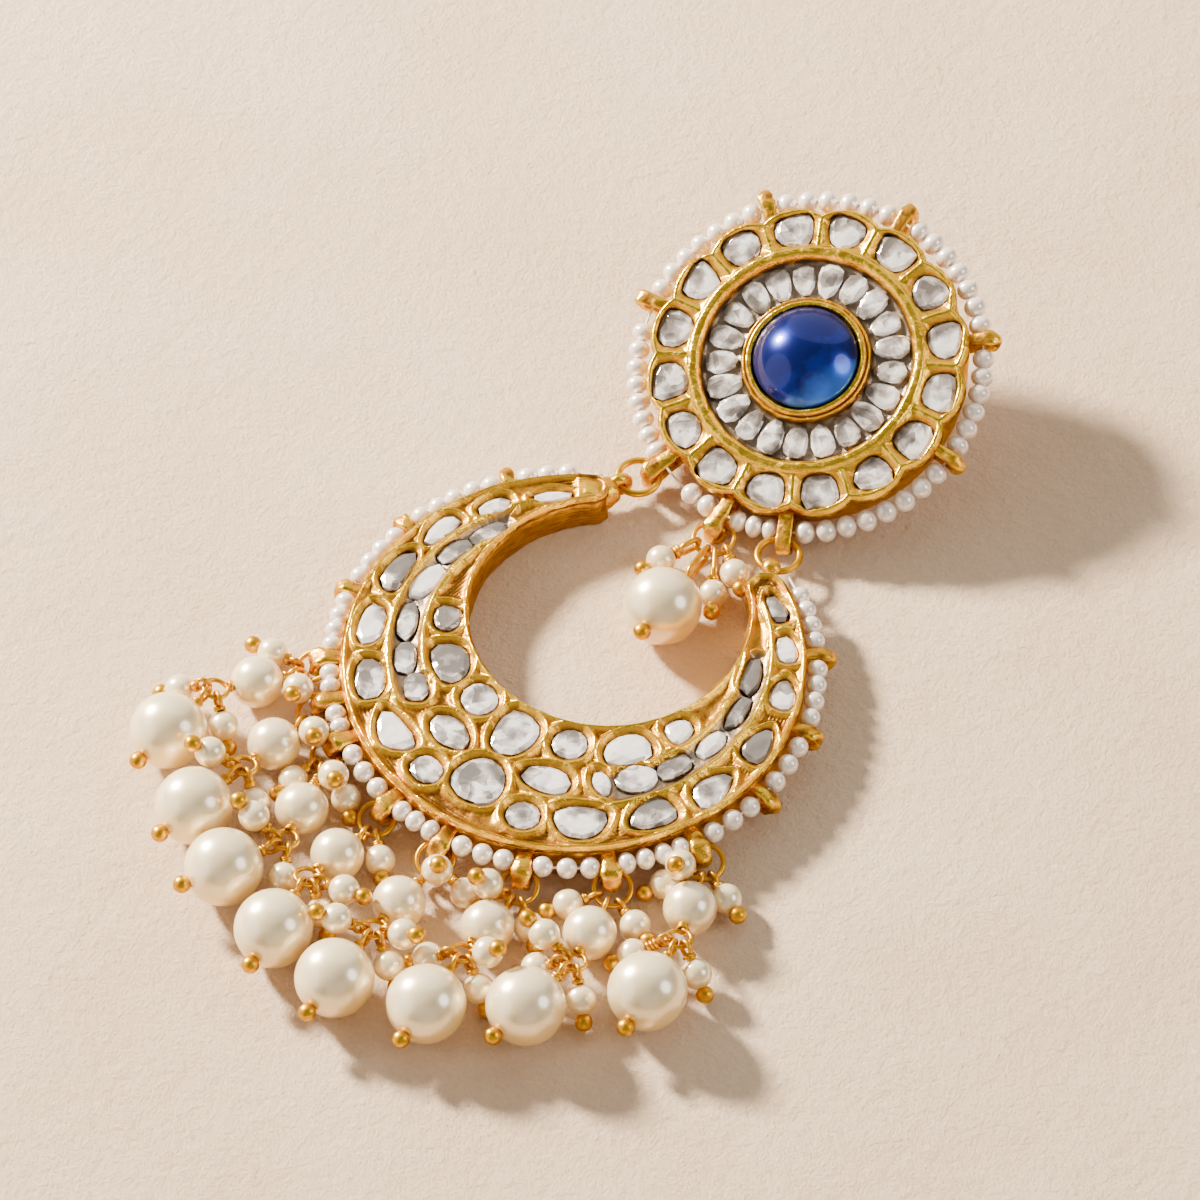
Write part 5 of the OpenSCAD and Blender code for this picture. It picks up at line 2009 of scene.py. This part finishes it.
@dataclass
class WireWork:
    """Bent wire: eyes, wrapped necks, stems and balls."""

    layout: Layout
    wrap_r: float = 0.43
    wrap_wire: float = 0.20
    pitch: float = 0.42
    wire_r: float = 0.24
    ball_fill: float = 1.28
    foot: float = 0.12
    sides: int = 8

    def _eye(self, builder: Builder, pin: Pin, foot: Array) -> None:
        """Add an eye, bent from its foot round and back.

        Args:
            builder: Where it goes.
            pin: The pin that the eye ends.
            foot: Where its wire starts and ends.
        """
        across = np.cross(pin.normal, pin.way)
        f = np.radians(np.concatenate([
            np.linspace(8, 90, 8), np.linspace(90, 270, 15),
            np.linspace(270, 352, 8)]))
        low = np.concatenate([np.ones(8), np.zeros(15), np.ones(8)])
        drift = np.linspace(-0.13, 0.13, len(f))
        path = (pin.eye
                + (np.cos(f) * pin.eye_r + low * pin.slack)[:, None]
                * pin.way
                + (np.sin(f) * pin.eye_r)[:, None] * across
                + drift[:, None] * pin.normal)
        builder.add(*sweep(np.vstack([[foot], path, [foot]]), self.wire_r,
                           self.sides))

    def _wraps(self, start: Array, way: Array, length: float,
               phase: float, uneven: float) -> Array:
        """Return the path of a neck's wraps.

        Args:
            start: Where the neck starts.
            way: Direction of the neck.
            length: Its length.
            phase: Where the first turn starts, in radians.
            uneven: How loosely it is wrapped.
        """
        turns = max(1.75, length / self.pitch)
        steps = int(turns * 11)
        axes = Axes.along(start, way)
        f = phase + np.linspace(0, 2 * math.pi * turns, steps)
        t = np.linspace(0.02, 0.98, steps) * length
        r = self.wrap_r * (1 + uneven * np.sin(f * 0.37 + phase))
        return axes.out(np.stack([r * np.cos(f), r * np.sin(f), t], -1))

    def neck(self, builder: Builder, start: Array, way: Array,
             length: float, rng: np.random.Generator) -> None:
        """Add the wraps of one neck."""
        path = self._wraps(start, way, length, rng.uniform(0, 6),
                           rng.uniform(0.02, 0.14))
        builder.add(*sweep(path, self.wrap_wire, 7))

    def head_pin(self, builder: Builder, pin: Pin,
                 rng: np.random.Generator) -> None:
        """Add a pin with its eye, neck, stem and ball.

        Args:
            builder: Where it goes.
            pin: The pin.
            rng: Source of its unevenness.
        """
        s = self.layout.size
        axis = pin.eye + pin.way * (pin.eye_r + pin.slack + self.foot)
        step = math.sqrt(pin.pearl_r ** 2 - s.bore_r ** 2) \
            + math.sqrt(s.ball_r ** 2 - s.bore_r ** 2) + s.gap
        ball = pin.pearl + pin.way * step
        self._eye(builder, pin, axis)
        builder.add(*sweep(np.array([axis, ball]), self.wire_r, self.sides))
        self.neck(builder, pin.eye + pin.way * (pin.eye_r + pin.slack),
                  pin.way, pin.neck - pin.slack - 0.05, rng)
        points, faces = lathe(ball_rows(s.ball_r * self.ball_fill, 12), 18)
        lump = Ripple(int(rng.integers(1 << 30)), 0.9)(points)
        axes = Axes.along(ball, pin.way)
        builder.add(axes.out(points * (1 + 0.02 * lump[:, None])), faces)

    def link(self, builder: Builder, pin: Pin, low: Ring,
             rng: np.random.Generator) -> None:
        """Add a link with an eye at each end.

        Args:
            builder: Where it goes.
            pin: The link's upper end and its pearl.
            low: The lower eye.
            rng: Source of its unevenness.
        """
        s = self.layout.size
        top = pin.eye + pin.way * (pin.eye_r + self.foot)
        end = low.centre - pin.way * (low.radius + self.foot)
        self._eye(builder, pin, top)
        self._eye(builder, Pin(low.centre, low.normal, -pin.way, low.radius,
                               0, 0), end)
        builder.add(*sweep(np.array([top, end]), self.wire_r, self.sides))
        self.neck(builder, pin.eye + pin.way * pin.eye_r, pin.way,
                  pin.neck - 0.05, rng)
        self.neck(builder, low.centre - pin.way * low.radius, -pin.way,
                  s.large_neck - 0.05, rng)


@dataclass
class FringeDrop:
    """One drop of the fringe: wires, a middle, a big and small pearls."""

    layout: Layout
    number: int

    def build(self, palette: Palette) -> None:
        """Build the drop.

        Args:
            palette: The finishes.
        """
        k, n = self.number, self.number + 1
        lay = self.layout
        wires, pearls = WireWork(lay), Pearls(lay)
        rng = np.random.default_rng(300 + k)
        wire, pearl = Builder(), Builder()
        middle, big, small = lay.middle(k), lay.big(k), lay.small(k)
        wires.link(wire, middle, lay.lower_eye(k), rng)
        for pin in [big] + small:
            wires.head_pin(wire, pin, rng)
        for j, pin in enumerate([middle, big] + small):
            pearls.add(pearl, pin, 500 + 20 * k + j)
        claim(wire.make(f"drop_{n}_wirework", palette.wire), "wire_gold",
              f"drop_{n}_wires")
        claim(pearl.make(f"drop_{n}_pearls", palette.pearl), "pearl",
              f"drop_{n}_middle_pearl", f"drop_{n}_big_pearl",
              f"drop_{n}_small_pearls")


@dataclass
class CentreDrop:
    """The cluster that hangs in the bay."""

    layout: Layout

    def build(self, palette: Palette) -> None:
        """Build the cluster.

        Args:
            palette: The finishes.
        """
        wires = WireWork(self.layout, wrap_r=0.50, wrap_wire=0.25,
                         pitch=0.5, wire_r=0.29)
        pearls = Pearls(self.layout)
        rng = np.random.default_rng(290)
        wire, pearl = Builder(), Builder()
        for j, pin in enumerate(self.layout.centre_pins()):
            wires.head_pin(wire, pin, rng)
            pearls.add(pearl, pin, 480 + j)
        claim(wire.make("centre_wirework", palette.wire), "wire_gold",
              "centre_pins")
        claim(pearl.make("centre_pearls", palette.pearl), "pearl",
              "centre_pearl", "centre_small_pearls")


# Geometry nodes
class NodeTool:
    """Builds a geometry node tree and turns its result into a mesh."""

    def __init__(self, name: str, inputs: Sequence[tuple[str, str]]) -> None:
        """Start the tree.

        Args:
            name: The tree's name.
            inputs: Name and socket type of each input after the mesh.
        """
        self.tree = bpy.data.node_groups.new(name, "GeometryNodeTree")
        face = self.tree.interface
        face.new_socket("Geometry", in_out="INPUT",
                        socket_type="NodeSocketGeometry")
        for label, kind in inputs:
            face.new_socket(label, in_out="INPUT", socket_type=kind)
        face.new_socket("Geometry", in_out="OUTPUT",
                        socket_type="NodeSocketGeometry")
        self.source = self.tree.nodes.new("NodeGroupInput")
        self.target = self.tree.nodes.new("NodeGroupOutput")

    def node(self, kind: str, settings: Optional[dict] = None,
             inputs: Optional[dict] = None) -> bpy.types.Node:
        """Make a node of any type.

        Args:
            kind: The node's type name.
            settings: Attributes set first.
            inputs: Values or output sockets for the inputs, by name.

        Returns:
            The node.
        """
        made = self.tree.nodes.new(kind)
        for key, value in (settings or {}).items():
            setattr(made, key, value)
        for key, value in (inputs or {}).items():
            sockets = [s for s in made.inputs
                       if s.enabled and s.name == key]
            if isinstance(value, bpy.types.NodeSocket):
                self.tree.links.new(value, sockets[0])
            else:
                sockets[0].default_value = value
        return made

    @staticmethod
    def out(node: bpy.types.Node) -> bpy.types.NodeSocket:
        """Return a node's first output in use."""
        return next(s for s in node.outputs if s.enabled)

    def finish(self, shape: bpy.types.NodeSocket) -> None:
        """Realize, smooth and dress the instances of a shape.

        Args:
            shape: The geometry that is set on each point.
        """
        along = self.node("GeometryNodeInputNamedAttribute",
                          {"data_type": "FLOAT_VECTOR"}, {"Name": "along"})
        size = self.node("GeometryNodeInputNamedAttribute",
                         {"data_type": "FLOAT_VECTOR"}, {"Name": "size"})
        turned = self.node("FunctionNodeAlignRotationToVector",
                           {"axis": "Z"}, {"Vector": self.out(along)})
        vary = self.node(
            "FunctionNodeRandomValue", {"data_type": "FLOAT_VECTOR"},
            {"Min": (0.96, 0.96, 0.97), "Max": (1.02, 1.02, 1.01),
             "Seed": self.source.outputs["Seed"]})
        scale = self.node("ShaderNodeVectorMath", {"operation": "MULTIPLY"})
        self.tree.links.new(self.out(size), scale.inputs[0])
        self.tree.links.new(self.out(vary), scale.inputs[1])
        placed = self.node(
            "GeometryNodeInstanceOnPoints", None,
            {"Points": self.source.outputs["Geometry"], "Instance": shape,
             "Rotation": self.out(turned), "Scale": self.out(scale)})
        real = self.node("GeometryNodeRealizeInstances", None,
                         {"Geometry": self.out(placed)})
        soft = self.node("GeometryNodeSetShadeSmooth", None,
                         {"Geometry": self.out(real)})
        dressed = self.node(
            "GeometryNodeSetMaterial", None,
            {"Geometry": self.out(soft),
             "Material": self.source.outputs["Material"]})
        self.tree.links.new(self.out(dressed), self.target.inputs[0])

    def run(self, name: str, points: Array, along: Array, size: Array,
            values: dict) -> bpy.types.Object:
        """Set the shape on points and keep the result as a plain mesh.

        Args:
            name: The piece's name.
            points: Where each copy goes, in millimetres.
            along: Direction of each copy's Z.
            size: Scale of each copy along its own axes.
            values: Values of the tree's inputs, by name.

        Returns:
            The finished object.
        """
        mesh = bpy.data.meshes.new(name + "_points")
        mesh.from_pydata((points * MM).tolist(), [], [])
        for key, rows in (("along", along), ("size", size)):
            layer = mesh.attributes.new(key, "FLOAT_VECTOR", "POINT")
            layer.data.foreach_set("vector", np.asarray(rows).ravel())
        carrier = add_object(name + "_points", mesh)
        modifier = carrier.modifiers.new("copies", "NODES")
        modifier.node_group = self.tree
        for item in self.tree.interface.items_tree:
            if item.in_out == "INPUT" and item.name in values:
                modifier[item.identifier] = values[item.name]
        graph = bpy.context.evaluated_depsgraph_get()
        made = bpy.data.meshes.new_from_object(carrier.evaluated_get(graph))
        bpy.data.objects.remove(carrier)
        made.name = name
        return add_object(name, made)


class SeedPearlTool(NodeTool):
    """Sets slightly flattened seed pearls on points."""

    def __init__(self) -> None:
        """Build the tree."""
        super().__init__("seed_pearls", (
            ("Radius", "NodeSocketFloat"), ("Seed", "NodeSocketInt"),
            ("Segments", "NodeSocketInt"), ("Rings", "NodeSocketInt"),
            ("Material", "NodeSocketMaterial")))
        outs = self.source.outputs
        ball = self.node("GeometryNodeMeshUVSphere", None,
                         {"Segments": outs["Segments"],
                          "Rings": outs["Rings"],
                          "Radius": outs["Radius"]})
        self.finish(self.out(ball))


class JumpRingTool(NodeTool):
    """Sets round wire rings on points."""

    def __init__(self) -> None:
        """Build the tree."""
        super().__init__("jump_rings", (
            ("Radius", "NodeSocketFloat"), ("Wire", "NodeSocketFloat"),
            ("Seed", "NodeSocketInt"), ("Material", "NodeSocketMaterial")))
        outs = self.source.outputs
        ring = self.node("GeometryNodeCurvePrimitiveCircle", None,
                         {"Resolution": 44, "Radius": outs["Radius"]})
        section = self.node("GeometryNodeCurvePrimitiveCircle", None,
                            {"Resolution": 10, "Radius": outs["Wire"]})
        tube = self.node("GeometryNodeCurveToMesh", None,
                         {"Curve": self.out(ring),
                          "Profile Curve": self.out(section)})
        self.finish(self.out(tube))


@dataclass
class JumpRings:
    """The jump rings of the drops and the two rings at the horns."""

    layout: Layout
    heavy: float = 1.2

    def build(self, palette: Palette) -> None:
        """Build every ring.

        Args:
            palette: The finishes.
        """
        lay, tool = self.layout, JumpRingTool()
        named = [("drops_jump_rings",
                  [lay.jump_ring(k) for k in range(len(DROPS))],
                  [f"drop_{k + 1}_ring" for k in range(len(DROPS))],
                  palette.wire, "wire_gold"),
                 ("centre_jump_ring", [lay.centre_ring()], ["centre_ring"],
                  palette.wire, "wire_gold"),
                 ("left_link", [lay.link_ring(True)], ["link_ring_left"],
                  palette.wire, "gold"),
                 ("right_link", [lay.link_ring(False)],
                  ["link_ring_right"], palette.wire, "gold")]
        for name, rings, nodes, material, slot in named:
            thing = tool.run(
                name, np.array([ring.centre for ring in rings]),
                np.array([ring.normal for ring in rings]),
                np.ones((len(rings), 3)),
                {"Radius": rings[0].radius * MM,
                 "Wire": rings[0].wire * self.heavy * MM, "Seed": 5,
                 "Material": material})
            claim(thing, slot, *nodes)


@dataclass
class SeedStrings:
    """Seed pearls threaded round the crescent and the disc."""

    layout: Layout
    crescent_gap: float = 0.06
    crescent_z: float = 3.28
    disc_gap: float = 0.14
    disc_depth: float = 2.1
    pitch: float = 2.02
    thread_r: float = 0.13
    ends: tuple[float, float] = (-152.0, 146.0)
    thread_ends: tuple[float, float] = (-156.0, 148.0)
    bare: dict[float, float] = field(
        default_factory=lambda: {-177: 1.5, HOOKED_STRAPS[0]: 2.4})

    def _span(self, radius: float, start: float, end: float,
              bare: float = 0.0) -> list[tuple[float, float]]:
        """Share out one span's pearls.

        Args:
            radius: Radius of the string.
            start: Angle of the first strap.
            end: Angle of the second strap.
            bare: Length left bare after the first strap.

        Returns:
            The angle of each pearl and its share of the usual pitch.
        """
        half = math.degrees(self.layout.size.strap_w / 2 / radius)
        low = start + half + math.degrees(bare / radius)
        room = math.radians(end - half - low) * radius
        count = max(1, round(room / self.pitch))
        step = (end - half - low) / count
        return [(low + (k + 0.5) * step, room / count / self.pitch)
                for k in range(count)]

    def build(self, palette: Palette) -> None:
        """Build both strings and their threads.

        Args:
            palette: The finishes.
        """
        lay, s = self.layout, self.layout.size
        tool = SeedPearlTool()
        rng = np.random.default_rng(77)
        ring = s.crescent_r + self.crescent_gap + s.seed_r
        straps = sorted(PLAIN_STRAPS + tuple(row[0] for row in DROPS))
        ends = [self.ends[0], *map(float, straps), self.ends[1]]
        places = []
        for a, b in zip(ends[:-1], ends[1:]):
            places += self._span(ring, a, b)

        def on_crescent(angle: float, lift: float) -> tuple[Array, Array]:
            """Return a place on the crescent's string and its way."""
            return (lay.spot(angle, ring, self.crescent_z + lift),
                    tangent(angle))

        self._string("crescent_seed_pearls", places, on_crescent, tool,
                     rng, palette, "crescent_pearl_string",
                     np.linspace(*self.thread_ends, 190), 1.05)
        ring = s.disc_r + self.disc_gap + s.seed_r
        turns = [*DISC_STRAPS, DISC_STRAPS[0] + 360]
        spans = []
        for a, b in zip(turns[:-1], turns[1:]):
            spans += self._span(ring, a, b, self.bare.get(a, 0.0))

        def on_disc(angle: float, lift: float) -> tuple[Array, Array]:
            """Return a place on the disc's string and its way."""
            a = math.radians(angle)
            axes = lay.disc_axes
            return (lay.on_disc(angle, ring, self.disc_depth - lift),
                    -math.sin(a) * axes.x + math.cos(a) * axes.y)

        self._string("disc_seed_pearls", spans, on_disc, tool, rng,
                     palette, "disc_pearl_string",
                     np.linspace(turns[0], turns[-1], 200), 1.16)

    def _string(self, name: str, places: Sequence[tuple[float, float]],
                locate: Callable[[float, float], tuple[Array, Array]],
                tool: SeedPearlTool, rng: np.random.Generator,
                palette: Palette, node: str, track: Array,
                plump: float) -> None:
        """Build one string.

        Args:
            name: The piece's name.
            places: Angle and thickness of each pearl.
            locate: Gives a place and its direction from an angle.
            tool: Sets the pearls.
            rng: Source of unevenness.
            palette: The finishes.
            node: The CAD node that the string stands for.
            track: Angles along the thread.
            plump: Size of the pearls across the thread.
        """
        seats = [locate(angle + rng.uniform(-0.15, 0.15),
                        rng.uniform(-0.06, 0.06))
                 for angle, _ in places]
        size = [(plump, plump, min(1.03, self.pitch / 2 * share * 1.03))
                for _, share in places]
        thing = tool.run(
            name, np.array([seat[0] for seat in seats]),
            np.array([seat[1] for seat in seats]), np.array(size),
            {"Radius": self.layout.size.seed_r * MM, "Seed": 9,
             "Segments": 22, "Rings": 14, "Material": palette.seed})
        claim(thing, "seed_pearl", node)
        path = np.array([locate(angle, 0.0)[0] for angle in track])
        builder = Builder()
        builder.add(*sweep(path, self.thread_r, 6))
        claim(builder.make(name.replace("seed_pearls", "thread"),
                           palette.thread), "seed_pearl")
        LOG.info("%s: %d pearls", name, len(places))


# Studio
@dataclass(frozen=True)
class Lamp:
    """A round area light: where it stands, how large and how strong."""

    name: str
    way: tuple[float, float, float]
    distance: float
    size: float
    watts: float
    colour: tuple[float, float, float]


LAMPS = (
    Lamp("key_light", (-0.86, 0.107, 0.50), 800, 125, 38.5,
         (1.0, 0.89, 0.74)),
    Lamp("sky_card", (-0.25, 0.75, 0.62), 1100, 1800, 7.2,
         (1.0, 0.94, 0.86)),
    Lamp("front_card", (0.55, -0.75, 0.45), 900, 900, 0.9,
         (1.0, 0.92, 0.82)),
    Lamp("right_card", (0.79, 0.24, 0.57), 900, 480, 3.2,
         (1.0, 0.94, 0.88)),
    Lamp("left_card", (-0.63, -0.70, 0.36), 900, 900, 2.5,
         (1.0, 0.94, 0.88)))


@dataclass
class Studio:
    """Floor, lights and camera."""

    palette: Palette
    target: tuple[float, float, float] = (-1.256, 4.50, 0.0)
    azimuth: float = 31.0
    elevation: float = 53.3
    distance: float = 550.0
    lens: float = 165.0
    floor_size: float = 1600.0
    floor_z: float = -0.02
    air: tuple[float, float, float, float] = (1.0, 0.88, 0.75, 1)
    air_strength: float = 0.25

    def build(self) -> None:
        """Build the stage."""
        half = self.floor_size / 2
        builder = Builder()
        builder.add(np.array([
            [x * half, y * half, self.floor_z]
            for x, y in ((-1, -1), (1, -1), (1, 1), (-1, 1))]),
            [[0, 1, 2, 3]])
        floor = builder.make("floor", self.palette.floor, fix=False)
        target = np.array(self.target)
        for lamp in LAMPS:
            self._area(lamp, target)
        world = bpy.data.worlds.new("studio")
        bpy.context.scene.world = world
        world.use_nodes = True
        back = world.node_tree.nodes["Background"]
        back.inputs["Color"].default_value = self.air
        back.inputs["Strength"].default_value = self.air_strength
        away = heading(self.azimuth, self.elevation)
        data = bpy.data.cameras.new("camera")
        data.lens = self.lens
        data.sensor_width = 36.0
        data.clip_start, data.clip_end = 0.01, 10.0
        camera = add_object("camera", data)
        self._aim(camera, target + away * self.distance, target)
        bpy.context.scene.camera = camera

    @staticmethod
    def _aim(thing: bpy.types.Object, place: Array, target: Array) -> None:
        """Put an object somewhere and point its -Z at a target.

        Args:
            thing: The object.
            place: Where it goes, in millimetres.
            target: What it points at.
        """
        thing.location = Vector((place * MM).tolist())
        way = Vector(((target - place) * MM).tolist())
        thing.rotation_euler = way.to_track_quat("-Z", "Y").to_euler()

    def _area(self, lamp: Lamp, target: Array) -> None:
        """Add a round area light.

        Args:
            lamp: The light.
            target: What it points at.
        """
        data = bpy.data.lights.new(lamp.name, "AREA")
        data.shape = "DISK"
        data.size = lamp.size * MM
        data.energy = lamp.watts
        data.color = lamp.colour
        light = add_object(lamp.name, data)
        self._aim(light, target + unit(np.array(lamp.way)) * lamp.distance,
                  target)


def main() -> None:
    """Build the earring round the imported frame."""
    logging.basicConfig(level=logging.INFO, format="%(message)s")
    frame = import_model()
    layout = Layout(EarringSize())
    palette = Palette(layout.disc_centre, layout.disc_up)
    CrescentSetting(layout).build(palette)
    DiscSetting(layout).build(palette)
    SeedStrings(layout).build(palette)
    JumpRings(layout).build(palette)
    for number in range(len(DROPS)):
        FringeDrop(layout, number).build(palette)
    CentreDrop(layout).build(palette)
    post = frame["nodes"]["ear_post"]
    post.data.materials.clear()
    post.data.materials.append(palette.wire)
    Studio(palette).build()


if __name__ == "__main__":
    main()
